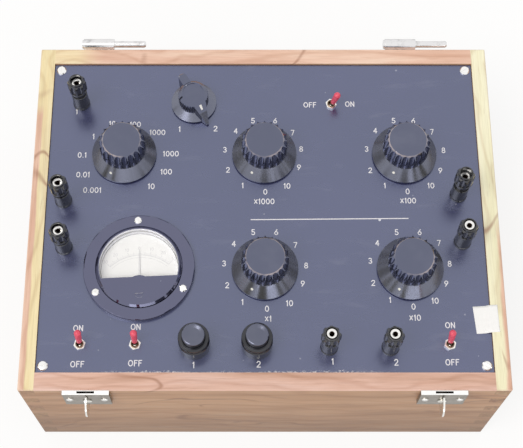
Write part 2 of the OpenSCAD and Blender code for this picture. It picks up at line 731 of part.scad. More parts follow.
module meter_zero_screw() color("dimgray") meter_frame() translate([0, -zero_y, 0]) {
    difference() {
        translate([0, 0, well_z]) cylinder(r = zero_r, h = meter_h + cover_up + 0.2 - well_z);
        translate([-zero_r - 1, -0.5, meter_h + cover_up - 1]) cube([2 * zero_r + 2, 1, 2]);
    }
    translate([0, 1.6, well_z - 1.2]) cylinder(r = 0.5, h = 2);
}

module meter_screws() color("whitesmoke") meter_frame(meter_h) meter_screw_places()
    screw(meter_head_r, meter_thread_r, meter_thread_l, 1.5);

// ---------------------------------------------------------------- press keys

neck_r = 7.5;
stem_r = 2;
key_floor = -2;        // floor inside the collar, under the spring
button_foot = 9;       // underside of the button, above the panel
key_notch_r = 1.4;
contact_r = 5.5;
stem_l = 16;           // stem below the panel's underside
strap_w = 8;
strap_x = 9.5;

module key_collar(at) on_panel(at) {
    difference() {
        union() {
            rotate_extrude() polygon(concat(
                [[0, 0], [collar_r, 0], [collar_r, collar_h * 0.6], [collar_r - 0.7, collar_h * 0.66],
                 [collar_r - 0.7, collar_h * 0.74]],
                arc(collar_r - 1.7, collar_h - 1.6, 1.6, 0, 90, 4),
                [[0, collar_h]]));
            translate([0, 0, -panel_t - 5]) cylinder(r = neck_r, h = panel_t + 6);
        }
        translate([0, 0, key_floor]) cylinder(r = button_r + gap, h = collar_h * 2);
        translate([0, 0, -panel_t - 6]) cylinder(r = stem_r + fit, h = panel_t + 10);
    }
    translate([0, 0, -panel_t - 3]) difference() {
        hexagon(2 * neck_r + 5, 3);
        translate([0, 0, -1]) cylinder(r = neck_r + seat, h = 5);
    }
}
module key_collars() color("dimgray") for (at = key_at) key_collar(at);

// Dished button with a notch in its edge, on a stem that ends in a contact washer
module key_button(at) color("dimgray") on_panel(at) difference() {
    rotate_extrude() polygon(concat(
        [[0, -panel_t - stem_l], [contact_r, -panel_t - stem_l], [contact_r, -panel_t - stem_l + 1.5],
         [stem_r, -panel_t - stem_l + 1.5], [stem_r, button_foot], [button_r, button_foot]],
        arc(button_r - 1.4, button_h - 1.4, 1.4, 0, 90, 5),
        [[button_r * 0.6, button_h - 0.5], [0, button_h - 0.8]]));
    translate([0, button_r - 0.6, button_h - 1.6]) cylinder(r = key_notch_r, h = 3, $fn = 24);
}
module key_button_left() key_button(key_at[0]);
module key_button_right() key_button(key_at[1]);

module key_spring(at) color("silver") on_panel(at) translate([0, 0, key_floor])
    tube(stem_r + 2, stem_r + 1, button_foot - key_floor);
module key_spring_left() key_spring(key_at[0]);
module key_spring_right() key_spring(key_at[1]);

// A strap under each key, with the bar that the washer closes on
module key_contacts() color("goldenrod") for (at = key_at) on_panel(at) {
    bar_z = -panel_t - stem_l - key_travel - gap;
    translate([-strap_x - 1.5, -strap_w / 2, bar_z - 2]) cube([2 * strap_x + 3, strap_w, 2]);
    for (s = [-1, 1]) translate([s > 0 ? strap_x : -strap_x - 1.5, -strap_w / 2, bar_z - 1])
        cube([1.5, strap_w, -panel_t - 3 - bar_z + 1]);
}

// ---------------------------------------------------------------- toggle switches

toggle_bush_r = 3.2;
toggle_bore_r = 2.6;
toggle_pivot = -2;     // pivot below the panel's face
toggle_up = 3;
toggle_pin_r = 0.5;    // cross pin through the ball, held in the bush
toggle_nut_h = 2;
lever_r = 1.1;
sleeve_r = 2.8;
sleeve_from = 7;
toggle_body = [13, 20, 15];

module toggle_places() {
    on_panel(toggle_back_at, 90) children();
    for (x = toggle_x) on_panel([x, row_y]) children();
}

module toggle_bodies() color("sienna") toggle_places() difference() {
    union() {
        translate([0, 0, -panel_t - 1]) cylinder(r = toggle_bush_r, h = panel_t + 1 + toggle_up);
        translate([-toggle_body[0] / 2, -toggle_body[1] / 2, -panel_t - toggle_body[2]]) cube(toggle_body);
        for (y = [-6, 0, 6]) translate([-1.5, y - 0.5, -panel_t - toggle_body[2] - 6]) cube([3, 1, 7]);
    }
    translate([0, 0, -panel_t - 6]) cylinder(r = toggle_bore_r, h = 40);
    translate([-toggle_bush_r - 1, 0, toggle_pivot]) rotate([0, 90, 0])
        cylinder(r = toggle_pin_r + fit, h = 2 * toggle_bush_r + 2);
}

module toggle_nuts() color("whitesmoke") toggle_places() difference() {
    rotate(15) hexagon(nut_af, toggle_nut_h);
    translate([0, 0, -1]) cylinder(r = toggle_bush_r + seat, h = 10);
}

// Ball and lever, and the sleeve pushed over it. The lever leans to its own +Y
module toggle_lever(at, turn) on_panel(at, turn) translate([0, 0, toggle_pivot])
    rotate([-toggle_lean, 0, 0]) {
        color("silver") {
            sphere(r = toggle_bore_r - fit);
            translate([-toggle_bush_r + 0.1, 0, 0]) rotate([0, 90, 0])
                cylinder(r = toggle_pin_r, h = 2 * toggle_bush_r - 0.2);
            translate([0, 0, -6]) cylinder(r = lever_r - 0.2, h = 6);
            cylinder(r = lever_r, h = toggle_l - 4);
        }
        color("palevioletred") difference() {
            rotate_extrude() polygon(concat(
                [[0, sleeve_from], [sleeve_r * 0.8, sleeve_from], [sleeve_r, toggle_l - sleeve_r]],
                arc(0, toggle_l - sleeve_r, sleeve_r, 0, 90, 6)));
            cylinder(r = lever_r + seat, h = toggle_l - 4 + seat);
        }
    }
module toggle_lever_back() toggle_lever(toggle_back_at, -90);
module toggle_lever_left() toggle_lever([toggle_x[0], row_y], 0);
module toggle_lever_middle() toggle_lever([toggle_x[1], row_y], 0);
module toggle_lever_right() toggle_lever([toggle_x[2], row_y], 0);

// ---------------------------------------------------------------- terminals

term_boss_r = 4.6;
lobes = 8;
lobe_cut_r = 2.2;
lobe_cut_d = 1.7;
neck_cap_r = 5.8;      // rim round the well, above the lobes
well_r = 4.8;
spigot_r = 5.1;        // collar of the base that stands inside the cap's foot
spigot_h = 7.6;
well_depth = 7;        // well round the post in the cap's top
post_nut_h = 3;
post_under = 12;
post_top = term_h - 0.4;

module terminal_bases() color("dimgray") for (at = term_at) on_panel(at) difference() {
    union() {
        rotate_extrude() polygon([[0, 0], [term_r, 0], [term_r, 2.4], [term_r - 0.3, 2.8],
                                  [term_r - 0.5, term_base_h - 0.5], [term_r - 0.9, term_base_h],
                                  [spigot_r, term_base_h], [spigot_r, term_base_h + spigot_h],
                                  [0, term_base_h + spigot_h]]);
        translate([0, 0, -panel_t]) cylinder(r = term_boss_r, h = panel_t + 1);
    }
    translate([0, 0, -panel_t - 1]) cylinder(r = post_r + seat, h = term_h + panel_t);
}

// Post with its plug socket, and the nut under the panel
module terminal_posts() color("whitesmoke") for (at = term_at) on_panel(at) {
    difference() {
        translate([0, 0, -panel_t - post_under]) cylinder(r = post_r, h = post_top + panel_t + post_under);
        translate([0, 0, post_top - socket_l]) cylinder(r = socket_r, h = socket_l + 1);
        translate([0, 0, post_top - 0.5]) cylinder(r1 = socket_r, r2 = socket_r + 0.6, h = 0.51);
    }
    translate([0, 0, -panel_t - post_nut_h]) difference() {
        hexagon(12, post_nut_h);
        translate([0, 0, -1]) cylinder(r = post_r + seat, h = post_nut_h + 2);
    }
}

// Lobed cap: its foot slips over the base's spigot, and its waist runs on the post
module terminal_cap(i) color("dimgray") on_panel(term_at[i])
    translate([0, 0, cap_lifts[i] * cap_rise]) difference() {
        rotate_extrude() polygon(concat(
            [[0, term_base_h + gap], [term_r - 0.4, term_base_h + gap], [term_r, term_base_h + 0.7],
             [term_r, term_base_h + 2.4], [term_r - 0.4, term_base_h + 2.8], [lobe_r, term_base_h + 4],
             [lobe_r, term_h - 5], [lobe_r - 0.6, term_h - 3.4], [neck_cap_r, term_h - 2.4]],
            arc(neck_cap_r - 0.5, term_h - 0.5, 0.5, 0, 90, 3), [[0, term_h]]));
        cylinder(r = post_r + fit, h = term_h + 1);
        cylinder(r = spigot_r + fit, h = term_base_h + spigot_h + 0.4);
        translate([0, 0, term_h - well_depth]) cylinder(r = well_r, h = well_depth + 1);
        for (k = [0 : lobes - 1]) rotate((k + 0.5) * 360 / lobes)
            translate([lobe_r + lobe_cut_r - lobe_cut_d, 0, term_base_h + 2.8])
                cylinder(r = lobe_cut_r, h = term_h);
    }
module terminal_cap_a() terminal_cap(0);
module terminal_cap_b() terminal_cap(1);
module terminal_cap_c() terminal_cap(2);
module terminal_cap_d() terminal_cap(3);
module terminal_cap_e() terminal_cap(4);
module terminal_cap_f() terminal_cap(5);
module terminal_cap_g() terminal_cap(6);

// ---------------------------------------------------------------- battery

cell_r = 16.5;
cell_l = 60;
cell_cap_r = 4.5;
cells = 3;
tray_wall = 2;
tray_h = 26;
tray_at = [40, -60];

module battery_tray() color("silver") translate([tray_at[0], tray_at[1], base_t]) difference() {
    w = cells * 2 * (cell_r + gap) + 2 * tray_wall;
    l = cell_l + 4 + 2 * tray_wall;
    translate([-w / 2, -l / 2, 0]) cube([w, l, tray_h]);
    translate([-w / 2 + tray_wall, -l / 2 + tray_wall, tray_wall])
        cube([w - 2 * tray_wall, l - 2 * tray_wall, tray_h]);
}

module battery_cells() color("olivedrab") for (i = [0 : cells - 1])
    translate([tray_at[0] + (i - (cells - 1) / 2) * 2 * (cell_r + gap), tray_at[1] - cell_l / 2 - 0.8,
               base_t + tray_wall + cell_r])
        rotate([-90, 0, 0]) rotate_extrude()
            polygon([[0, 0], [cell_r, 0], [cell_r, cell_l], [cell_cap_r, cell_l],
                     [cell_cap_r, cell_l + 1.6], [0, cell_l + 1.6]]);

// ---------------------------------------------------------------- nodes

base_board();
left_board();
right_board();
front_board();
back_board();
corner_blocks();
fitting_screws();
panel();
panel_screws();
hinge_leaves();
hinge_pins();
catch_plates();
catch_turn_left();
catch_turn_right();
meter_case();
meter_cover();
meter_glass();
meter_dial();
meter_magnet();
meter_needle();
meter_zero_screw();
meter_screws();
ratio_knob();
x1000_knob();
x100_knob();
x10_knob();
x1_knob();
function_knob();
ratio_rotor();
x1000_rotor();
x100_rotor();
x10_rotor();
x1_rotor();
function_rotor();
switch_frames();
switch_decks();
resistor_bobbins();
key_collars();
key_contacts();
key_button_left();
key_button_right();
key_spring_left();
key_spring_right();
toggle_bodies();
toggle_nuts();
toggle_lever_back();
toggle_lever_left();
toggle_lever_middle();
toggle_lever_right();
terminal_bases();
terminal_posts();
terminal_cap_a();
terminal_cap_b();
terminal_cap_c();
terminal_cap_d();
terminal_cap_e();
terminal_cap_f();
terminal_cap_g();
battery_tray();
battery_cells();
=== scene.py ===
import math

import bpy
from mathutils import Euler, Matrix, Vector


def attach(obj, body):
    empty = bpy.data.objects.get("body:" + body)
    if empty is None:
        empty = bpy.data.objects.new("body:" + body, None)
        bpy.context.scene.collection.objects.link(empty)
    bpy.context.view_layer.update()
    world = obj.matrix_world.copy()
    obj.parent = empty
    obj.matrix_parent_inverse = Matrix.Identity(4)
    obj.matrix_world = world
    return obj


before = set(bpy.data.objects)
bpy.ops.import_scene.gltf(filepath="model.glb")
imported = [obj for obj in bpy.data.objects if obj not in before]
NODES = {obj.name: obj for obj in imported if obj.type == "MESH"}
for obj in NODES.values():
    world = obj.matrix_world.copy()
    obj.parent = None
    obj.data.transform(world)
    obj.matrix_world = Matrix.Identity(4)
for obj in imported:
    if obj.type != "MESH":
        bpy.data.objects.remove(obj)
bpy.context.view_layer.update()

MM = 0.001

# Heights and places that the materials and the printing are worked out from, in millimetres
FACE_Z = 138.0                  # top of the panel
RIM_Z = 140.0                   # top of the boards
METER = (-99.7, -49.8)
FUNCTION = (-58.5, 98.6)
SKIRT_R, SKIRT_LIP = 26.5, 2.7  # a big knob's skirt: its rim and the height of that
GRIP_R, SKIRT_H = 18.6, 12.5    # where the skirt meets the grip
KNOB_H = 29.0

# The camera, in metres and radians, and the photograph's frame in pixels
CAMERA_AT = Vector((-0.01381, -0.39374, 1.06751))
CAMERA_TILT = math.radians(22.365)
LENS, SENSOR_W, SHIFT_X = 85.43, 36.0, 0.0278
PHOTO_W, PHOTO_H = 523, 448


# ------------------------------------------------------------ camera and light

def look():
    cam = bpy.data.cameras.new("camera")
    cam.lens = LENS
    cam.sensor_fit = "HORIZONTAL"
    cam.sensor_width = SENSOR_W
    cam.shift_x = SHIFT_X
    cam.clip_start = 0.05
    obj = bpy.data.objects.new("camera", cam)
    obj.location = CAMERA_AT
    obj.rotation_euler = (CAMERA_TILT, 0, 0)
    bpy.context.scene.collection.objects.link(obj)
    bpy.context.scene.camera = obj


def on_panel(u, v):
    """The place on the panel's face, in millimetres, that the camera sees at a pixel of the photograph."""
    across = u / PHOTO_W - 0.5 + SHIFT_X
    up = (PHOTO_H / 2 - v) / PHOTO_W
    ray = Vector((across * SENSOR_W / LENS, up * SENSOR_W / LENS, -1))
    ray.rotate(Euler((CAMERA_TILT, 0, 0)))
    spot = CAMERA_AT + ray * ((FACE_Z * MM - CAMERA_AT.z) / ray.z)
    return spot.x / MM, spot.y / MM


def background_ray(tree):
    """1 for the rays that show the background itself: camera, glossy and transmission rays."""
    path = tree.nodes.new("ShaderNodeLightPath")
    most = path.outputs["Is Camera Ray"]
    for name in ("Is Glossy Ray", "Is Transmission Ray"):
        node = tree.nodes.new("ShaderNodeMath")
        node.operation = "MAXIMUM"
        tree.links.new(most, node.inputs[0])
        tree.links.new(path.outputs[name], node.inputs[1])
        most = node.outputs[0]
    return most


def light():
    world = bpy.data.worlds.new("studio")
    world.use_nodes = True
    bpy.context.scene.world = world
    tree = world.node_tree
    tree.nodes.clear()
    out = tree.nodes.new("ShaderNodeOutputWorld")
    mix = tree.nodes.new("ShaderNodeMixShader")
    soft = tree.nodes.new("ShaderNodeBackground")
    soft.inputs["Color"].default_value = (1.0, 0.985, 0.96, 1)
    soft.inputs["Strength"].default_value = 0.66
    white = tree.nodes.new("ShaderNodeBackground")
    white.inputs["Color"].default_value = (1, 1, 1, 1)
    white.inputs["Strength"].default_value = 1.0
    tree.links.new(background_ray(tree), mix.inputs[0])
    tree.links.new(soft.outputs[0], mix.inputs[1])
    tree.links.new(white.outputs[0], mix.inputs[2])
    tree.links.new(mix.outputs[0], out.inputs[0])

    sun = bpy.data.lights.new("sun", "SUN")
    sun.energy = 1.15
    sun.angle = math.radians(34)
    sun.color = (1.0, 0.97, 0.92)
    hang(sun, (-0.42, -0.3, 0.86))

    # a low soft lamp in front, which shows as a gleam on the skirts
    low = bpy.data.lights.new("low_front", "AREA")
    low.shape = "RECTANGLE"
    low.size, low.size_y = 1.5, 0.16
    low.energy = 1.7
    obj = hang(low, (0.08, -0.97, 0.1), 1.5)
    obj.visible_camera = False


def hang(data, direction, distance=0.0):
    """A lamp that shines at the object from a direction."""
    obj = bpy.data.objects.new(data.name, data)
    way = Vector(direction).normalized()
    obj.location = Vector((0, 0, RIM_Z * MM)) + way * distance
    obj.rotation_euler = way.to_track_quat("Z", "Y").to_euler()
    bpy.context.scene.collection.objects.link(obj)
    return obj


def floor():
    """Pale sheet. It looks white to the camera and bounces half the light, and keeps the object's shadow."""
    mesh = bpy.data.meshes.new("floor")
    far, below = 4.0, -0.0004
    corners = [(-far, -far, below), (far, -far, below), (far, far, below), (-far, far, below)]
    mesh.from_pydata(corners, [], [(0, 1, 2, 3)])
    obj = bpy.data.objects.new("floor", mesh)
    bpy.context.scene.collection.objects.link(obj)
    mat = bpy.data.materials.new("floor")
    mat.use_nodes = True
    tree = mat.node_tree
    tree.nodes.clear()
    out = tree.nodes.new("ShaderNodeOutputMaterial")
    paper = tree.nodes.new("ShaderNodeBsdfDiffuse")
    path = tree.nodes.new("ShaderNodeLightPath")
    pale = tree.nodes.new("ShaderNodeMapRange")
    pale.inputs[3].default_value = 0.5
    pale.inputs[4].default_value = 1.0
    tree.links.new(path.outputs["Is Camera Ray"], pale.inputs[0])
    tree.links.new(pale.outputs[0], paper.inputs["Color"])
    glow = tree.nodes.new("ShaderNodeEmission")
    glow.inputs["Strength"].default_value = 1.0
    share = tree.nodes.new("ShaderNodeMath")
    share.operation = "MULTIPLY"
    share.inputs[1].default_value = 0.82
    mix = tree.nodes.new("ShaderNodeMixShader")
    tree.links.new(background_ray(tree), share.inputs[0])
    tree.links.new(share.outputs[0], mix.inputs[0])
    tree.links.new(paper.outputs[0], mix.inputs[1])
    tree.links.new(glow.outputs[0], mix.inputs[2])
    tree.links.new(mix.outputs[0], out.inputs[0])
    mesh.materials.append(mat)


# ------------------------------------------------------------ material building

class Shader:
    """A Principled material with short calls for the nodes that drive it."""

    def __init__(self, name, color=(0.5, 0.5, 0.5), **sockets):
        self.mat = bpy.data.materials.new(name)
        self.mat.use_nodes = True
        self.tree = self.mat.node_tree
        self.tree.nodes.clear()
        self.out = self.tree.nodes.new("ShaderNodeOutputMaterial")
        self.bsdf = self.tree.nodes.new("ShaderNodeBsdfPrincipled")
        self.tree.links.new(self.bsdf.outputs[0], self.out.inputs[0])
        self.set("Base Color", color)
        for key, value in sockets.items():
            self.set(key.replace("_", " "), value)
        self.mat.diffuse_color = (*color, 1)

    def set(self, name, value):
        socket = self.bsdf.inputs[name]
        if isinstance(value, bpy.types.NodeSocket):
            self.tree.links.new(value, socket)
        elif isinstance(value, tuple):
            socket.default_value = (*value, 1)
        else:
            socket.default_value = value

    def feed(self, node, index, value):
        if isinstance(value, bpy.types.NodeSocket):
            self.tree.links.new(value, node.inputs[index])
        elif isinstance(value, tuple):
            socket = node.inputs[index]
            socket.default_value = (*value, 1) if len(socket.default_value) == 4 else value
        elif value is not None:
            node.inputs[index].default_value = value

    def place(self, scale=(1, 1, 1), shift=(0, 0, 0), turn=(0, 0, 0)):
        """Object coordinates, which are the frame's own at rest, scaled and shifted."""
        coord = self.tree.nodes.new("ShaderNodeTexCoord")
        mapping = self.tree.nodes.new("ShaderNodeMapping")
        self.tree.links.new(coord.outputs["Object"], mapping.inputs["Vector"])
        mapping.inputs["Location"].default_value = shift
        mapping.inputs["Rotation"].default_value = turn
        mapping.inputs["Scale"].default_value = scale
        return mapping.outputs[0]

    def axes(self):
        node = self.tree.nodes.new("ShaderNodeSeparateXYZ")
        self.tree.links.new(self.place(), node.inputs[0])
        return node.outputs[0], node.outputs[1], node.outputs[2]

    def above(self, z, height, blur=0.1):
        """1 higher than a height over the panel's face, in millimetres."""
        return self.step(z, (FACE_Z + height - blur) * MM, (FACE_Z + height + blur) * MM)

    def facing(self, axis):
        """1 where the surface faces along an axis, to either side."""
        geo = self.tree.nodes.new("ShaderNodeNewGeometry")
        node = self.tree.nodes.new("ShaderNodeSeparateXYZ")
        self.tree.links.new(geo.outputs["Normal"], node.inputs[0])
        return self.calc("ABSOLUTE", node.outputs[axis])

    def calc(self, how, a, b=None, c=None, clamp=False):
        node = self.tree.nodes.new("ShaderNodeMath")
        node.operation = how
        node.use_clamp = clamp
        self.feed(node, 0, a)
        self.feed(node, 1, b)
        self.feed(node, 2, c)
        return node.outputs[0]

    def step(self, value, start, end, low=0.0, high=1.0):
        """Smooth rise from low to high while value goes from start to end."""
        node = self.tree.nodes.new("ShaderNodeMapRange")
        node.interpolation_type = "SMOOTHSTEP"
        self.feed(node, 0, value)
        flip = start > end
        node.inputs[1].default_value = min(start, end)
        node.inputs[2].default_value = max(start, end)
        node.inputs[3].default_value = high if flip else low
        node.inputs[4].default_value = low if flip else high
        return node.outputs[0]

    def noise(self, scale, detail=4.0, rough=0.55, distort=0.0, where=None, color=False):
        node = self.tree.nodes.new("ShaderNodeTexNoise")
        node.inputs["Scale"].default_value = scale
        node.inputs["Detail"].default_value = detail
        node.inputs["Roughness"].default_value = rough
        node.inputs["Distortion"].default_value = distort
        self.tree.links.new(where or self.place(), node.inputs["Vector"])
        return node.outputs["Color" if color else "Fac"]

    def cells(self, scale, where=None, output="Distance"):
        node = self.tree.nodes.new("ShaderNodeTexVoronoi")
        node.inputs["Scale"].default_value = scale
        self.tree.links.new(where or self.place(), node.inputs["Vector"])
        return node.outputs[output]

    def mix(self, share, a, b, how="MIX"):
        node = self.tree.nodes.new("ShaderNodeMix")
        node.data_type = "RGBA"
        node.blend_type = how
        self.feed(node, 0, share)
        self.feed(node, 6, a)
        self.feed(node, 7, b)
        return node.outputs[2]

    def ramp(self, value, *stops):
        node = self.tree.nodes.new("ShaderNodeValToRGB")
        self.tree.links.new(value, node.inputs[0])
        marks = node.color_ramp.elements
        for i, (at, color) in enumerate(stops):
            mark = marks[i] if i < len(marks) else marks.new(at)
            mark.position = at
            mark.color = (*color, 1)
        return node.outputs[0]

    def bump(self, height, strength=0.3, depth=0.0002):
        node = self.tree.nodes.new("ShaderNodeBump")
        node.inputs["Strength"].default_value = strength
        node.inputs["Distance"].default_value = depth
        self.tree.links.new(height, node.inputs["Height"])
        self.tree.links.new(node.outputs[0], self.bsdf.inputs["Normal"])

    def specks(self, scale, size, share, where=None):
        """Small irregular spots: 1 inside a spot. About share of the cells have one."""
        near = self.cells(scale, where)
        pick = self.tree.nodes.new("ShaderNodeSeparateColor")
        self.tree.links.new(self.cells(scale, where, "Color"), pick.inputs[0])
        chosen = self.calc("LESS_THAN", pick.outputs[0], share)
        inside = self.calc("LESS_THAN", near, self.calc("MULTIPLY", pick.outputs[1], size))
        return self.calc("MULTIPLY", chosen, inside)


# ------------------------------------------------------------ wood

def wood(name, along, tones, vein, seed, sap=None):
    """Planed boards with the grain along an axis: broad tone, rings, veins, fibres and pores, and end grain
    on the faces that look along the axis. sap(s, x, y) gives the share of pale sapwood on the rim."""
    s = Shader(name, tones[1], Roughness=0.42, IOR=1.45)
    long, cross = (0, 1) if along == "x" else (1, 0)

    def stretched(run, width):
        scale = [width, width, width]
        scale[long] = run
        return s.place(tuple(scale), (seed * 3.1, seed * 1.7, seed * 0.9))

    x, y, z = s.axes()
    side = (x, y)[cross]
    wander = s.noise(1.0, 3, 0.5, 0.4, stretched(5.5, 9))
    wander2 = s.noise(1.0, 2, 0.5, 0.0, stretched(17, 26))
    # distance from a heart that lies outside the board, pushed about by the wander
    ring = s.calc("MULTIPLY_ADD", wander, 0.075, s.calc("MULTIPLY_ADD", z, 0.8, side))
    ring = s.calc("MULTIPLY_ADD", wander2, 0.012, ring)
    phase = s.calc("MULTIPLY", ring, 2 * math.pi / 0.0125)
    wave = s.calc("MULTIPLY_ADD", s.calc("SINE", phase), 0.5, 0.5)
    late = s.calc("POWER", wave, 5.0)
    tone = s.noise(1.0, 5, 0.6, 0.2, stretched(7, 70))
    fibre = s.noise(1.0, 4, 0.75, 0.0, stretched(28, 1500))
    flecks = s.noise(1.0, 2, 0.5, 0.0, stretched(45, 520))
    base = s.ramp(tone, (0.34, tones[0]), (0.52, tones[1]), (0.68, tones[2]))
    upright = s.step(s.facing(2), 0.5, 0.2)
    if sap:
        pale = s.ramp(tone, (0.3, sap.tones[0]), (0.7, sap.tones[1]))
        base = s.mix(s.calc("MULTIPLY", sap(s, x, y), s.calc("SUBTRACT", 1.0, upright)), base, pale)
    base = s.mix(s.calc("MULTIPLY", late, 0.4), base, s.mix(1.0, base, (0.72, 0.6, 0.52), "MULTIPLY"))
    # a few narrow dark veins, where a second field crosses its middle
    line = s.noise(1.0, 2, 0.45, 0.5, stretched(6.5, 20))
    thin = s.step(s.calc("ABSOLUTE", s.calc("SUBTRACT", line, 0.5)), 0.017, 0.0)
    broken = s.step(s.noise(1.0, 3, 0.6, 0, stretched(13, 30)), 0.42, 0.6)
    base = s.mix(s.calc("MULTIPLY", s.calc("MULTIPLY", thin, broken), 0.7), base, vein)
    streak = s.step(flecks, 0.62, 0.74)
    base = s.mix(s.calc("MULTIPLY", streak, 0.35), base, s.mix(1.0, base, (0.7, 0.6, 0.52), "MULTIPLY"))
    fine = s.ramp(fibre, (0.25, (0.72, 0.7, 0.68)), (0.6, (1.1, 1.1, 1.1)))
    base = s.mix(0.5, base, s.mix(1.0, base, fine, "MULTIPLY"))
    # end grain: darker, with short arcs and pores
    end = s.step(s.facing(long), 0.6, 0.8)
    pores = s.noise(420, 3, 0.7)
    arcs = s.calc("MULTIPLY_ADD", s.calc("SINE", s.calc("MULTIPLY", ring, 1600.0)), 0.5, 0.5)
    dark = s.mix(1.0, base, s.ramp(pores, (0.3, (0.5, 0.45, 0.4)), (0.62, (0.88, 0.84, 0.8))), "MULTIPLY")
    dark = s.mix(s.calc("MULTIPLY", arcs, 0.25), dark, s.mix(1.0, dark, (0.7, 0.62, 0.56), "MULTIPLY"))
    base = s.mix(end, base, dark)
    # painted shade: upright faces are darker and browner than the rim, for the lesser light that falls on
    # them, and darker still towards the bottom
    bottom_wobble = s.noise(14, 4, 0.6)
    low = s.step(s.calc("MULTIPLY_ADD", bottom_wobble, 0.05, z), 0.155, 0.02)
    upright_shade = s.mix(low, (0.71, 0.61, 0.4), (0.44, 0.365, 0.235))
    base = s.mix(upright, base, s.mix(1.0, base, upright_shade, "MULTIPLY"))
    # rubbed arris along the top edge
    near_top = s.step(z, (RIM_Z - 2.2) * MM, (RIM_Z - 0.2) * MM)
    edge = s.calc("MULTIPLY", near_top, s.step(s.facing(2), 0.98, 0.8))
    base = s.mix(s.calc("MULTIPLY", edge, 0.35), base, tones[2])
    s.set("Base Color", base)
    s.set("Roughness", s.step(fibre, 0.3, 0.7, 0.34, 0.5))
    height = s.calc("MULTIPLY_ADD", s.step(flecks, 0.55, 0.75), -0.6, fibre)
    s.bump(height, 0.22, 0.0003)
    return s.mat


def left_sap(s, x, y):
    """Pale sapwood on the inner part of the left rim, and across its whole width towards the back."""
    noise = s.noise(22, 3, 0.5)
    edge = s.calc("MULTIPLY_ADD", noise, 0.004, x)
    inner = s.step(edge, -0.1838, -0.1822)
    behind = s.step(s.calc("MULTIPLY_ADD", noise, 0.03, y), 0.098, 0.112)
    return s.calc("MAXIMUM", inner, behind)


def back_sap(s, x, _y):
    """Paler at the left end of the back rim."""
    return s.step(s.calc("MULTIPLY_ADD", s.noise(20, 3, 0.5), 0.02, x), -0.125, -0.15)


def right_sap(s, x, y):
    """Pale over the whole right rim, but for a strip along its outer edge towards the back."""
    noise = s.noise(16, 3, 0.5)
    outer = s.step(s.calc("MULTIPLY_ADD", noise, 0.008, x), 0.1925, 0.1895)
    low = s.step(s.calc("MULTIPLY_ADD", noise, 0.05, y), -0.02, 0.02)
    return s.calc("MAXIMUM", outer, low)


left_sap.tones = ((0.9, 0.74, 0.42), (0.97, 0.88, 0.6))
back_sap.tones = ((0.92, 0.72, 0.44), (0.97, 0.84, 0.58))
right_sap.tones = ((0.93, 0.88, 0.6), (0.98, 0.95, 0.73))


def woods():
    tan = ((0.62, 0.37, 0.27), (0.78, 0.5, 0.4), (0.86, 0.6, 0.52))
    pink = ((0.75, 0.45, 0.33), (0.87, 0.59, 0.46), (0.95, 0.72, 0.58))
    vein = (0.4, 0.2, 0.13)
    dress(wood("teak_front", "x", tan, vein, 1.0), "front_board")
    dress(wood("teak_back", "x", pink, vein, 2.3, back_sap), "back_board")
    dress(wood("wood_left", "y", pink, vein, 3.7, left_sap), "left_board")
    dress(wood("wood_right", "y", pink, vein, 5.1, right_sap), "right_board")
    dress(wood("teak_inside", "x", tan, vein, 6.4), "base_board", "corner_blocks")


# ------------------------------------------------------------ blacks, metals and the rest

def black(name, color, tint, ior, rough, dust, specks=0.0, skirted=False):
    """Polished black moulding: fine scratches in the gloss, a little dust and a few pale specks. A skirted
    knob is satin on its skirt, where its base colour is also lighter as painted sheen, and the top ends of
    its flutes are painted a pale brown as a painted reflection of the wooden rim."""
    s = Shader(name, color, IOR=ior)
    s.set("Specular Tint", tint)
    scratch = s.noise(900, 2, 0.6, 0.0, s.place((1, 0.06, 1), turn=(0, 0, 0.6)))
    haze = s.noise(45, 4, 0.6)
    tone = s.mix(s.step(haze, 0.35, 0.75), color, tuple(c * 1.5 + 0.004 for c in color))
    up = s.step(s.facing(2), 0.8, 1.0)
    film = s.calc("MULTIPLY", s.calc("MULTIPLY", up, s.step(haze, 0.45, 0.8)), dust)
    tone = s.mix(film, tone, (0.35, 0.35, 0.36))
    if specks:
        spots = s.specks(170, 0.16, specks)
        tone = s.mix(s.calc("MULTIPLY", spots, 0.6), tone, (0.7, 0.7, 0.74))
    worn = s.calc("MULTIPLY_ADD", scratch, 0.5, s.calc("MULTIPLY", haze, 0.5))
    shine = s.step(worn, 0.3, 0.75, rough, rough + 0.12)
    if skirted:
        z = s.axes()[2]
        under = s.calc("SUBTRACT", 1.0, s.above(z, SKIRT_H, 0.2))
        skirt = s.calc("MULTIPLY", under, s.step(s.facing(2), 0.2, 0.4))
        # painted sheen: the skirt's base colour is lighter than the rest of the same black moulding
        tone = s.mix(skirt, tone, s.mix(haze, (0.05, 0.05, 0.047), (0.1, 0.1, 0.094)))
        shine = s.calc("MULTIPLY_ADD", skirt, 0.13, shine)
        # painted reflection: the top ends of the flutes take a pale brown, the wooden rim seen in them
        crest = s.calc("MULTIPLY", s.above(z, KNOB_H - 0.95, 0.35), s.step(s.facing(2), 0.97, 0.85))
        tone = s.mix(s.calc("MULTIPLY", crest, s.step(haze, 0.35, 0.6)), tone, (0.36, 0.29, 0.24))
    s.set("Base Color", tone)
    s.set("Roughness", shine)
    s.bump(s.noise(240, 3, 0.6), 0.05, 0.0001)
    return s.mat


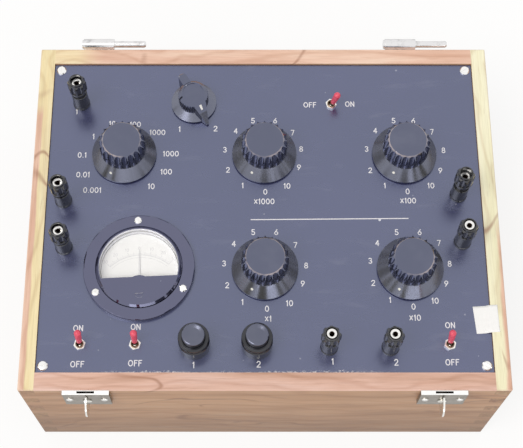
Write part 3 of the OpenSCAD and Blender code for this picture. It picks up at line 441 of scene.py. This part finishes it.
def meter_material():
    """The panel's kind of gloss, with a white lining inside the window."""
    s = Shader("meter_black", (0.02, 0.02, 0.035), IOR=2.6)
    s.set("Specular Tint", (0.66, 0.68, 1.0))
    x, y, z = s.axes()
    window_wall, can_wall = 31.85, 33.5
    lining = s.calc("MULTIPLY", s.step(s.facing(2), 0.5, 0.2), near_meter(s, x, y, window_wall))
    ledge = s.calc("MULTIPLY", s.calc("SUBTRACT", 1.0, s.above(z, 2.3)), near_meter(s, x, y, can_wall))
    haze = s.noise(45, 4, 0.6)
    spots = s.calc("MULTIPLY", s.specks(170, 0.16, 0.12), 0.6)
    tone = s.mix(spots, s.mix(haze, (0.016, 0.016, 0.03), (0.026, 0.026, 0.044)), (0.7, 0.7, 0.74))
    s.set("Base Color", s.mix(s.calc("MAXIMUM", lining, ledge), tone, (0.95, 0.95, 0.94)))
    s.set("Roughness", s.step(haze, 0.3, 0.75, 0.07, 0.14))
    s.bump(s.noise(240, 3, 0.6), 0.04, 0.0001)
    return s.mat


def near_meter(s, x, y, radius):
    """1 within a radius of the meter's axis, in millimetres."""
    dx, dy = s.calc("SUBTRACT", x, METER[0] * MM), s.calc("SUBTRACT", y, METER[1] * MM)
    away = s.calc("SQRT", s.calc("ADD", s.calc("MULTIPLY", dx, dx), s.calc("MULTIPLY", dy, dy)))
    return s.calc("LESS_THAN", away, radius * MM)


def panel_material():
    """Laminate with a soft gloss, scuffs and white specks, and ragged wear along its front edge."""
    s = Shader("panel_black", (0.025, 0.027, 0.085), IOR=2.6)
    s.set("Specular Tint", (0.72, 0.78, 1.0))
    x, y = s.axes()[:2]
    cloud = s.noise(9, 4, 0.6)
    color = s.mix(s.step(cloud, 0.3, 0.75), (0.022, 0.024, 0.078), (0.03, 0.031, 0.094))
    smear = s.noise(1.0, 4, 0.65, 0.6, s.place((26, 90, 26), turn=(0, 0, -0.5)))
    color = s.mix(s.calc("MULTIPLY", s.step(smear, 0.56, 0.78), 0.22), color, (0.16, 0.16, 0.2))
    fine = s.specks(115, 0.10, 0.22)
    coarse = s.specks(34, 0.055, 0.2)
    color = s.mix(s.calc("MULTIPLY", fine, 0.45), color, (0.5, 0.5, 0.56))
    color = s.mix(s.calc("MULTIPLY", coarse, 0.9), color, (0.8, 0.8, 0.84))
    # ragged white wear in the joint with the front board
    ragged = s.noise(1.0, 5, 0.75, 0.0, s.place((420, 700, 420)))
    patch = s.noise(1.0, 2, 0.5, 0.0, s.place((26, 4, 4)))
    reach = s.calc("MULTIPLY", s.step(ragged, 0.42, 0.72), s.step(patch, 0.38, 0.55, 0.3, 1.0))
    middle = s.calc("MULTIPLY", s.step(x, -0.15, -0.08), s.step(x, 0.11, 0.06))
    near = s.step(s.calc("MULTIPLY_ADD", reach, -0.0026, y), -0.1348, -0.1362)
    wear = s.calc("MULTIPLY", s.calc("MULTIPLY", near, middle), s.step(ragged, 0.4, 0.5))
    color = s.mix(wear, color, (0.82, 0.78, 0.78))
    s.set("Base Color", color)
    s.set("Roughness", s.calc("ADD", s.step(smear, 0.45, 0.8, 0.24, 0.34), s.calc("MULTIPLY", wear, 0.5)))
    s.bump(s.noise(120, 4, 0.55), 0.035, 0.0001)
    return s.mat


def metal(name, color, rough, tarnish=(0.45, 0.42, 0.36), spread=0.35):
    """Plated metal: fine lines in the gloss, darker in patches."""
    s = Shader(name, color, Metallic=1.0)
    lines = s.noise(1.0, 3, 0.7, 0.0, s.place((2500, 260, 260)))
    patch = s.noise(90, 5, 0.65)
    s.set("Base Color", s.mix(s.calc("MULTIPLY", s.step(patch, 0.48, 0.75), spread), color, tarnish))
    worn = s.calc("MULTIPLY_ADD", lines, 0.5, s.calc("MULTIPLY", patch, 0.5))
    s.set("Roughness", s.step(worn, 0.3, 0.75, rough, rough + 0.16))
    s.bump(lines, 0.06, 0.0001)
    return s.mat


def plate_metal():
    """The catches: bright nickel on the top edge, and on the face a dark grey that is painted shade."""
    s = Shader("catch_plate", (0.6, 0.59, 0.56), Metallic=1.0)
    z = s.axes()[2]
    patch = s.noise(130, 5, 0.65)
    lines = s.noise(1.0, 3, 0.7, 0.0, s.place((300, 300, 2600)))
    top = s.step(z, (RIM_Z - 0.6) * MM, (RIM_Z - 0.05) * MM)
    # painted shade: the face is a dark grey, standing in for the darker surroundings it mirrors; the top
    # edge keeps bright nickel
    shaded_face = s.ramp(patch, (0.3, (0.23, 0.21, 0.18)), (0.7, (0.36, 0.33, 0.29)))
    s.set("Base Color", s.mix(top, shaded_face, (0.96, 0.95, 0.93)))
    s.set("Roughness", s.step(lines, 0.3, 0.7, 0.26, 0.46))
    s.bump(lines, 0.08, 0.0001)
    return s.mat


def post_metal():
    """The binding posts: a bright top face round a dull, tarnished socket."""
    s = Shader("post_nickel", (0.93, 0.92, 0.9), Metallic=1.0)
    z = s.axes()[2]
    haze = s.noise(300, 3, 0.6)
    top = s.above(z, 35.0, 0.2)
    s.set("Base Color", s.mix(top, (0.09, 0.045, 0.03), s.mix(haze, (0.82, 0.8, 0.77), (0.96, 0.95, 0.93))))
    s.set("Roughness", s.calc("MULTIPLY_ADD", top, -0.38, 0.6))
    s.bump(haze, 0.05, 0.0001)
    return s.mat


def lever_metal():
    """Plated lever below, red moulded sleeve above it."""
    s = Shader("toggle_lever", (0.7, 0.08, 0.13), IOR=1.5)
    z = s.axes()[2]
    sleeve = s.above(z, 4.4, 0.05)
    haze = s.noise(380, 3, 0.6)
    red = s.ramp(haze, (0.3, (0.76, 0.07, 0.12)), (0.7, (0.9, 0.13, 0.21)))
    s.set("Base Color", s.mix(sleeve, (0.75, 0.73, 0.7), red))
    s.set("Metallic", s.calc("SUBTRACT", 1.0, sleeve))
    s.set("Roughness", s.step(haze, 0.3, 0.7, 0.28, 0.42))
    s.set("Subsurface Weight", s.calc("MULTIPLY", sleeve, 0.25))
    s.bsdf.inputs["Subsurface Radius"].default_value = (0.003, 0.001, 0.001)
    s.bump(haze, 0.05, 0.0001)
    return s.mat


def bush_metal():
    """Threaded bush of the toggles above, brown moulded body below the panel."""
    s = Shader("toggle_body", (0.3, 0.15, 0.08), IOR=1.5)
    z = s.axes()[2]
    above = s.above(z, -5.0)
    haze = s.noise(300, 3, 0.6)
    thread = s.calc("MULTIPLY_ADD", s.calc("SINE", s.calc("MULTIPLY", z, 2 * math.pi / 0.0006)), 0.5, 0.5)
    s.set("Base Color", s.mix(above, s.ramp(haze, (0.3, (0.2, 0.09, 0.05)), (0.7, (0.34, 0.17, 0.09))),
                              s.mix(s.calc("MULTIPLY", thread, 0.4), (0.3, 0.21, 0.14), (0.14, 0.1, 0.07))))
    s.set("Metallic", above)
    s.set("Roughness", s.step(haze, 0.3, 0.7, 0.3, 0.45))
    s.bump(s.calc("MULTIPLY", thread, above), 0.3, 0.0002)
    return s.mat


def moulded(name, low, high, rough, scale=160, **sockets):
    """Plain moulded, printed or painted surface with a soft mottle."""
    s = Shader(name, high, IOR=1.5, **sockets)
    haze = s.noise(scale, 4, 0.6)
    s.set("Base Color", s.ramp(haze, (0.3, low), (0.7, high)))
    s.set("Roughness", s.step(haze, 0.3, 0.7, rough, rough + 0.12))
    s.bump(haze, 0.06, 0.0001)
    return s.mat


def deck_material():
    """Brown laminate, with brass studs standing on it."""
    s = Shader("switch_deck", (0.3, 0.16, 0.08), IOR=1.5)
    z = s.axes()[2]
    above = s.above(z, -18.8)
    weave = s.noise(1.0, 3, 0.7, 0.0, s.place((900, 900, 200)))
    laminate = s.ramp(weave, (0.3, (0.22, 0.11, 0.05)), (0.7, (0.36, 0.2, 0.1)))
    s.set("Base Color", s.mix(above, laminate, (0.78, 0.58, 0.26)))
    s.set("Metallic", above)
    s.set("Roughness", s.step(weave, 0.3, 0.7, 0.35, 0.5))
    s.bump(weave, 0.1, 0.0001)
    return s.mat


def bobbin_material():
    """Turns of fine wire between the flanges."""
    s = Shader("wire_wrap", (0.4, 0.3, 0.13), IOR=1.5)
    z = s.axes()[2]
    turns = s.calc("MULTIPLY_ADD", s.calc("SINE", s.calc("MULTIPLY", z, 2 * math.pi / 0.0007)), 0.5, 0.5)
    s.set("Base Color", s.mix(turns, (0.2, 0.13, 0.05), (0.55, 0.42, 0.2)))
    s.set("Roughness", s.step(s.noise(200, 3), 0.3, 0.7, 0.35, 0.5))
    s.bump(turns, 0.5, 0.0003)
    return s.mat


def cell_material():
    """Plain green jacket with a pale band, and bare metal ends."""
    s = Shader("cell_jacket", (0.12, 0.2, 0.16), IOR=1.5)
    y = s.axes()[1]
    end = s.step(s.facing(1), 0.7, 0.9)
    haze = s.noise(150, 4, 0.6)
    band = s.step(y, -0.05, -0.0498)
    green = s.ramp(haze, (0.3, (0.08, 0.16, 0.13)), (0.7, (0.13, 0.23, 0.18)))
    s.set("Base Color", s.mix(end, s.mix(band, green, (0.6, 0.52, 0.34)), (0.7, 0.69, 0.66)))
    s.set("Metallic", end)
    s.set("Roughness", s.step(haze, 0.3, 0.7, 0.3, 0.45))
    s.bump(haze, 0.05, 0.0001)
    return s.mat


def glass_material():
    """Clear pane. It lets the light through to the dial."""
    s = Shader("meter_glass", (1.0, 1.0, 1.0), Roughness=0.02, IOR=1.45, Transmission_Weight=1.0)
    s.set("Roughness", s.step(s.noise(60, 4, 0.6), 0.4, 0.9, 0.0, 0.05))
    clear = s.tree.nodes.new("ShaderNodeBsdfTransparent")
    clear.inputs["Color"].default_value = (1, 1, 1, 1)
    path = s.tree.nodes.new("ShaderNodeLightPath")
    share = s.calc("MAXIMUM", path.outputs["Is Shadow Ray"], path.outputs["Is Diffuse Ray"])
    mix = s.tree.nodes.new("ShaderNodeMixShader")
    s.tree.links.new(share, mix.inputs[0])
    s.tree.links.new(s.bsdf.outputs[0], mix.inputs[1])
    s.tree.links.new(clear.outputs[0], mix.inputs[2])
    s.tree.links.new(mix.outputs[0], s.out.inputs[0])
    return s.mat


def dress(mat, *names):
    for name in names:
        mesh = NODES[name].data
        mesh.materials.clear()
        mesh.materials.append(mat)


def dress_frame():
    woods()
    dress(panel_material(), "panel")
    knob = black("knob_black", (0.012, 0.012, 0.017), (0.64, 0.69, 0.98), 2.6, 0.06, 0.05, 0.1, skirted=True)
    dress(knob, "ratio_knob", "x1000_knob", "x100_knob", "x10_knob", "x1_knob", "function_knob")
    dress(black("key_black", (0.012, 0.012, 0.015), (0.64, 0.68, 0.92), 2.6, 0.12, 0.05),
          "key_button_left", "key_button_right")
    dress(black("collar_black", (0.01, 0.01, 0.012), (0.9, 0.92, 1.0), 1.62, 0.1, 0.04), "key_collars")
    dress(black("terminal_black", (0.011, 0.011, 0.013), (0.95, 0.96, 1.0), 1.75, 0.14, 0.06),
          "terminal_bases", *("terminal_cap_" + c for c in "abcdefg"))
    dress(meter_material(), "meter_case", "meter_cover", "meter_zero_screw")
    dress(metal("nickel", (0.93, 0.92, 0.9), 0.16), "panel_screws", "meter_screws")
    dress(post_metal(), "terminal_posts")
    dress(metal("nickel_warm", (0.97, 0.95, 0.91), 0.2, spread=0.2), "toggle_nuts")
    dress(metal("hinge_nickel", (0.8, 0.79, 0.79), 0.14, (0.24, 0.23, 0.23), 0.6),
          "hinge_leaves", "hinge_pins")
    dress(metal("screw_nickel", (0.85, 0.84, 0.82), 0.22), "fitting_screws")
    dress(metal("wing_nickel", (0.9, 0.89, 0.85), 0.18), "catch_turn_left", "catch_turn_right")
    dress(plate_metal(), "catch_plates")
    dress(lever_metal(), *("toggle_lever_" + c for c in ("back", "left", "middle", "right")))
    dress(bush_metal(), "toggle_bodies")
    dress(metal("zinc", (0.6, 0.6, 0.6), 0.3),
          "switch_frames", "battery_tray", "key_spring_left", "key_spring_right")
    dress(metal("brass", (0.8, 0.6, 0.28), 0.25, tarnish=(0.4, 0.26, 0.12)), "key_contacts",
          *(n + "_rotor" for n in ("ratio", "x1000", "x100", "x10", "x1", "function")))
    dress(deck_material(), "switch_decks")
    dress(bobbin_material(), "resistor_bobbins")
    dress(cell_material(), "battery_cells")
    dress(moulded("dial_white", (0.97, 0.97, 0.965), (1.0, 1.0, 1.0), 0.6), "meter_dial")
    dress(moulded("magnet_iron", (0.16, 0.17, 0.19), (0.26, 0.27, 0.3), 0.4, Metallic=0.8), "meter_magnet")
    dress(moulded("needle_grey", (0.74, 0.74, 0.76), (0.84, 0.84, 0.86), 0.5), "meter_needle")
    dress(glass_material(), "meter_glass")


# ------------------------------------------------------------ pieces on the frame

def piece(name, verts, faces, mat, body, smooth=False):
    mesh = bpy.data.meshes.new(name)
    mesh.from_pydata([tuple(c * MM for c in v) for v in verts], [], faces)
    mesh.validate()
    mesh.materials.append(mat)
    if smooth:
        for face in mesh.polygons:
            face.use_smooth = True
    obj = bpy.data.objects.new(name, mesh)
    bpy.context.scene.collection.objects.link(obj)
    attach(obj, body)
    return obj


class Ink:
    """Engraved and filled strokes with round ends, gathered into one mesh that lies on its surface."""

    def __init__(self, width=0.72, lift=0.03):
        self.width, self.lift = width, lift
        self.verts, self.faces = [], []
        self.count = 0

    def bar(self, a, b, z, width=None):
        r = (width or self.width) / 2
        dx, dy = b[0] - a[0], b[1] - a[1]
        turn = math.atan2(dy, dx)
        ring = []
        for end, side in ((b, -math.pi / 2), (a, math.pi / 2)):
            for i in range(7):
                angle = turn + side + math.pi * i / 6
                ring.append((end[0] + r * math.cos(angle), end[1] + r * math.sin(angle)))
        top = z + self.lift + 0.0006 * (self.count % 40)
        self.count += 1
        n, k = len(ring), len(self.verts)
        self.verts += [(p[0], p[1], top) for p in ring] + [(p[0], p[1], z - 0.02) for p in ring]
        self.faces.append(list(range(k, k + n)))
        self.faces += [[k + i, k + n + i, k + n + (i + 1) % n, k + (i + 1) % n] for i in range(n)]

    def path(self, points, z, width=None):
        for a, b in zip(points, points[1:]):
            self.bar(a, b, z, width)

    def made(self, name, mat, body="case"):
        return piece(name, self.verts, self.faces, mat, body)


def bow(cx, cy, rx, ry, a0, a1, n=8):
    """Points of an elliptical bow, in degrees, anticlockwise from the right."""
    return [(cx + rx * math.cos(math.radians(a0 + (a1 - a0) * i / n)),
             cy + ry * math.sin(math.radians(a0 + (a1 - a0) * i / n))) for i in range(n + 1)]


# Plain single-stroke signs in a cell 1 high. Each is (width, strokes)
SIGNS = {
    "0": (0.62, [bow(0.31, 0.5, 0.29, 0.5, 90, 450, 16)]),
    "1": (0.3, [[(0.04, 0.78), (0.2, 1), (0.2, 0)]]),
    "2": (0.58, [bow(0.29, 0.72, 0.26, 0.28, 170, -35, 8) + [(0.02, 0), (0.58, 0)]]),
    "3": (0.58, [bow(0.28, 0.75, 0.25, 0.25, 150, -90, 8) + bow(0.28, 0.26, 0.28, 0.26, 90, -150, 9)]),
    "4": (0.62, [[(0.46, 0), (0.46, 1), (0.02, 0.3), (0.62, 0.3)]]),
    "5": (0.58, [[(0.52, 1), (0.1, 1), (0.07, 0.56)] + bow(0.28, 0.31, 0.29, 0.31, 120, -150, 9)]),
    "6": (0.6, [[(0.46, 1), (0.14, 0.56)] + bow(0.3, 0.3, 0.28, 0.3, 150, 510, 14)]),
    "7": (0.56, [[(0.02, 1), (0.56, 1), (0.2, 0)]]),
    "8": (0.58, [bow(0.29, 0.76, 0.23, 0.24, -90, 270, 12), bow(0.29, 0.26, 0.28, 0.26, 90, 450, 12)]),
    "9": (0.6, [[(0.14, 0), (0.46, 0.44)] + bow(0.3, 0.7, 0.28, 0.3, -30, 330, 14)]),
    ".": (0.16, [[(0.08, 0.03), (0.08, 0.04)]]),
    "x": (0.56, [[(0.04, 0.1), (0.52, 0.84)], [(0.04, 0.84), (0.52, 0.1)]]),
    "O": (0.76, [bow(0.38, 0.5, 0.36, 0.5, 90, 450, 16)]),
    "N": (0.66, [[(0.04, 0), (0.04, 1), (0.62, 0), (0.62, 1)]]),
    "F": (0.54, [[(0.54, 1), (0.06, 1), (0.06, 0)], [(0.06, 0.54), (0.44, 0.54)]]),
    " ": (0.4, []),
}


def write(ink, text, x, y, height, z=FACE_Z, gap=0.24, width=None):
    """Text centred on (x, y)."""
    total = sum(SIGNS[c][0] for c in text) + gap * (len(text) - 1)
    at = x - total * height / 2
    for c in text:
        wide, strokes = SIGNS[c]
        for stroke in strokes:
            ink.path([(at + px * height, y + (py - 0.5) * height) for px, py in stroke], z, width)
        at += (wide + gap) * height


DIALS = {"ratio": (-115.3, 50.7), "x1000": (0.5, 50.7), "x100": (116.3, 50.7),
         "x10": (116.3, -50.1), "x1": (0.5, -50.1)}

CIRCLE_R = 33.0
TEXT_H = 4.4

# Where numbers and words stand in the photograph's frame, in pixels, each read off it. A decade's
# other numbers, which aren't listed, stand on a circle round their dial
DECADES = {
    "x1000": {"x1000": (264.2, 201.4), "0": (265.3, 191.8), "4": (235.7, 131.0), "7": (292.5, 132.7),
              "8": (301.1, 149.0), "9": (299.0, 167.3), "10": (287.0, 185.9)},
    "x100": {"x100": (408.1, 200.6), "0": (407.6, 191.4), "1": (384.8, 185.6), "2": (370.2, 170.3),
             "3": (366.5, 149.0), "4": (375.2, 130.7), "5": (393.5, 120.7), "7": (431.8, 131.8),
             "8": (443.4, 150.3), "9": (440.4, 170.6), "10": (430.9, 185.6)},
    "x10": {"x10": (415.1, 317.7), "0": (413.5, 306.6), "1": (390.2, 299.9), "2": (373.2, 282.9),
            "3": (370.2, 260.8), "4": (377.2, 243.0), "7": (438.8, 243.0), "8": (449.6, 263.8),
            "9": (446.3, 283.6), "10": (435.1, 300.7)},
    "x1": {"x1": (268.2, 318.7), "0": (267.0, 308.7), "7": (295.3, 245.0), "8": (306.1, 265.5),
           "9": (302.8, 283.6), "10": (289.5, 303.2)},
}
RATIO = (("0.001", 92.3, 190.1), ("0.01", 83.1, 174.6), ("0.1", 82.2, 155.0), ("1", 93.6, 136.5),
         ("10", 112.3, 123.6), ("100", 135.3, 124.4), ("1000", 157.4, 132.4), ("1000", 170.8, 153.7),
         ("100", 166.2, 171.7), ("10", 151.2, 186.3))
FUNCTION_PLACES = (("1", 179.6, 129.1), ("2", 215.5, 128.6))
TERMINALS = (("1", 76.8, 111.6), ("1", 332.7, 361.5), ("2", 396.3, 362.3))
KEYS = (("1", 193.5, 365.0), ("2", 258.6, 364.2))
TOGGLES = {                     # ON, then OFF
    "back": ((349.7, 104.1), (309.8, 104.9)),
    "left": ((78.2, 328.2), (77.2, 364.2)),
    "middle": ((135.7, 326.9), (135.0, 363.2)),
    "right": ((450.1, 325.2), (452.3, 362.3)),
}
RULED_LINE = ((251.0, 219.7), (408.1, 218.4))


def clock(center, radius, degrees):
    """A place on a circle, clockwise from the front."""
    a = math.radians(-90 - degrees)
    return center[0] + radius * math.cos(a), center[1] + radius * math.sin(a)


def engraving():
    """Numbers of the dials, keys and terminals, ON and OFF at the toggles, and the ruled line."""
    white = moulded("engraving_white", (0.8, 0.79, 0.83), (0.96, 0.95, 0.98), 0.5, scale=700)
    ink = Ink()
    for dial, seen in DECADES.items():
        for n in range(11):
            text = str(n)
            spot = on_panel(*seen[text]) if text in seen else clock(DIALS[dial], CIRCLE_R, n * 360 / 11)
            write(ink, text, *spot, TEXT_H)
        write(ink, dial, *on_panel(*seen[dial]), TEXT_H)
    for text, u, v in RATIO:
        write(ink, text, *on_panel(u, v), TEXT_H)
    for text, u, v in FUNCTION_PLACES + TERMINALS + KEYS:
        write(ink, text, *on_panel(u, v), TEXT_H + 0.2)
    for on, off in TOGGLES.values():
        write(ink, "ON", *on_panel(*on), TEXT_H)
        write(ink, "OFF", *on_panel(*off), TEXT_H)
    start, end = (on_panel(*seen) for seen in RULED_LINE)
    ink.bar(start, end, FACE_Z, 0.8)
    ink.made("engraving", white)


def nose_mark():
    """Painted highlight: a white strip on the short slope of the function knob's nose, standing in for the
    gleam that the slope catches.
    """
    white = moulded("nose_highlight_white", (0.85, 0.84, 0.8), (0.97, 0.96, 0.94), 0.4, scale=900)
    start_r, start_h, run, fall = 11.8, 17.6, 5.24, 5.2      # the slope's start, and what it runs and falls
    center, turn = Vector((*FUNCTION, FACE_Z)), math.radians(-60)
    out, up = Vector((math.cos(turn), math.sin(turn), 0)), Vector((0, 0, 1))
    side = up.cross(out)
    normal = (out * fall + up * run).normalized()
    verts, faces, n = [], [], 6
    for i in range(n + 1):
        t = 0.06 + 0.6 * i / n
        spot = center + out * (start_r + run * t) + up * (start_h - fall * t)
        half = 1.15 * (1 - 0.4 * t)
        verts += [tuple(spot + side * w * half + normal * h)
                  for w, h in ((-1, -0.1), (-0.85, 0.06), (0.85, 0.06), (1, -0.1))]
    for i in range(n):
        k = 4 * i
        faces += [[k + j, k + j + 1, k + j + 5, k + j + 4] for j in range(3)]
    faces += [[3, 2, 1, 0], [4 * n, 4 * n + 1, 4 * n + 2, 4 * n + 3]]
    piece("nose_mark", verts, faces, white, "function_dial")


def index_dots():
    """A filled white dot on each skirt, at the place that meets the numbers."""
    white = moulded("dot_white", (0.85, 0.84, 0.74), (0.97, 0.96, 0.9), 0.45, scale=900)
    slope = math.atan2(SKIRT_H - SKIRT_LIP, SKIRT_R - GRIP_R)      # of the skirt's cone
    dot_r = 22.4
    for name, at in DIALS.items():
        degrees = 26.0 if name == "ratio" else 27.5
        cx, cy = clock(at, dot_r, degrees)
        out = Vector((cx - at[0], cy - at[1], 0)).normalized()
        z = FACE_Z + SKIRT_LIP + (SKIRT_R - dot_r) * math.tan(slope)
        normal = (out * math.sin(slope) + Vector((0, 0, math.cos(slope)))).normalized()
        down = out * math.cos(slope) - Vector((0, 0, math.sin(slope)))
        across = normal.cross(down)
        rings = [(1.15, -0.05), (1.05, 0.05), (0.7, 0.12), (0.0, 0.15)]
        verts, faces, n = [], [], 16
        for r, h in rings[:-1]:
            for i in range(n):
                a = 2 * math.pi * i / n
                p = Vector((cx, cy, z)) + across * (r * math.cos(a)) + down * (r * math.sin(a)) + normal * h
                verts.append(tuple(p))
        verts.append(tuple(Vector((cx, cy, z)) + normal * rings[-1][1]))
        for k in range(2):
            low, high = k * n, (k + 1) * n
            faces += [[low + i, low + (i + 1) % n, high + (i + 1) % n, high + i] for i in range(n)]
        faces += [[2 * n + i, 2 * n + (i + 1) % n, 3 * n] for i in range(n)]
        piece(name + "_dot", verts, faces, white, name + "_dial", True)


def meter_scale():
    """Arcs, ticks and numbers of a centre-zero scale, printed on the dial in a faint grey."""
    grey = moulded("scale_grey", (0.6, 0.6, 0.63), (0.78, 0.78, 0.8), 0.6, scale=400)
    ink = Ink(0.35, 0.02)
    top = FACE_Z - 4 + 0.8          # the dial's face, below the panel's
    turn = math.radians(2.7)        # the meter stands a little askew
    arc_r, pivot_y, step = 35, -22.5, 1.4

    def polar(r, degrees):
        a = math.radians(90 - degrees)
        x, y = r * math.cos(a), pivot_y + r * math.sin(a)
        return (METER[0] + x * math.cos(turn) - y * math.sin(turn),
                METER[1] + x * math.sin(turn) + y * math.cos(turn))

    for r, width in ((arc_r, 0.3), (arc_r - 2, 0.2)):
        ink.path([polar(r, -42 + 84 * i / 36) for i in range(37)], top, width)
    for i in range(-30, 31):
        long = 3.4 if i % 10 == 0 else 2.6 if i % 5 == 0 else 1.8
        ink.bar(polar(arc_r, i * step), polar(arc_r + long, i * step), top, 0.3 if i % 5 == 0 else 0.18)
    for i in range(-30, 31, 10):
        x, y = polar(arc_r + 6, i * step)
        write(ink, str(abs(i)), x, y, 2.4, top, width=0.28)
    ink.made("meter_scale", grey)


def paper_label():
    """Blank scrap of white paper stuck half on the panel and half over the rim."""
    mat = moulded("paper_white", (0.96, 0.96, 0.96), (1.0, 1.0, 1.0), 0.8, scale=300)
    corners = [(164.0, -81.8), (183.2, -80.8), (183.8, -103.2), (165.8, -104.2)]
    nx, ny = 20, 12
    verts, faces = [], []
    for j in range(ny + 1):
        for i in range(nx + 1):
            u, v = i / nx, j / ny
            top = [corners[0][k] * (1 - u) + corners[1][k] * u for k in (0, 1)]
            low = [corners[3][k] * (1 - u) + corners[2][k] * u for k in (0, 1)]
            x, y = (top[k] * (1 - v) + low[k] * v for k in (0, 1))
            # it climbs from the panel to the rim at the board's inner edge, x = 177.6
            t = min(1.0, max(0.0, (x - 172.6) / 5.0))
            rise = (RIM_Z - FACE_Z) * t * t * (3 - 2 * t)
            ripple = 0.05 * math.sin(x * 0.9 + y * 0.35) * min(u, 1 - u) * 4
            verts.append((x, y, FACE_Z + 0.1 + rise + abs(ripple)))
    for j in range(ny):
        for i in range(nx):
            k = j * (nx + 1) + i
            faces.append([k, k + nx + 1, k + nx + 2, k + 1])
    obj = piece("paper_label", verts, faces, mat, "case", True)
    thick = obj.modifiers.new("thickness", "SOLIDIFY")
    thick.thickness = 0.0001
    thick.offset = 1


bpy.context.scene.view_settings.view_transform = "Standard"
look()
light()
floor()
dress_frame()
engraving()
index_dots()
nose_mark()
meter_scale()
paper_label()
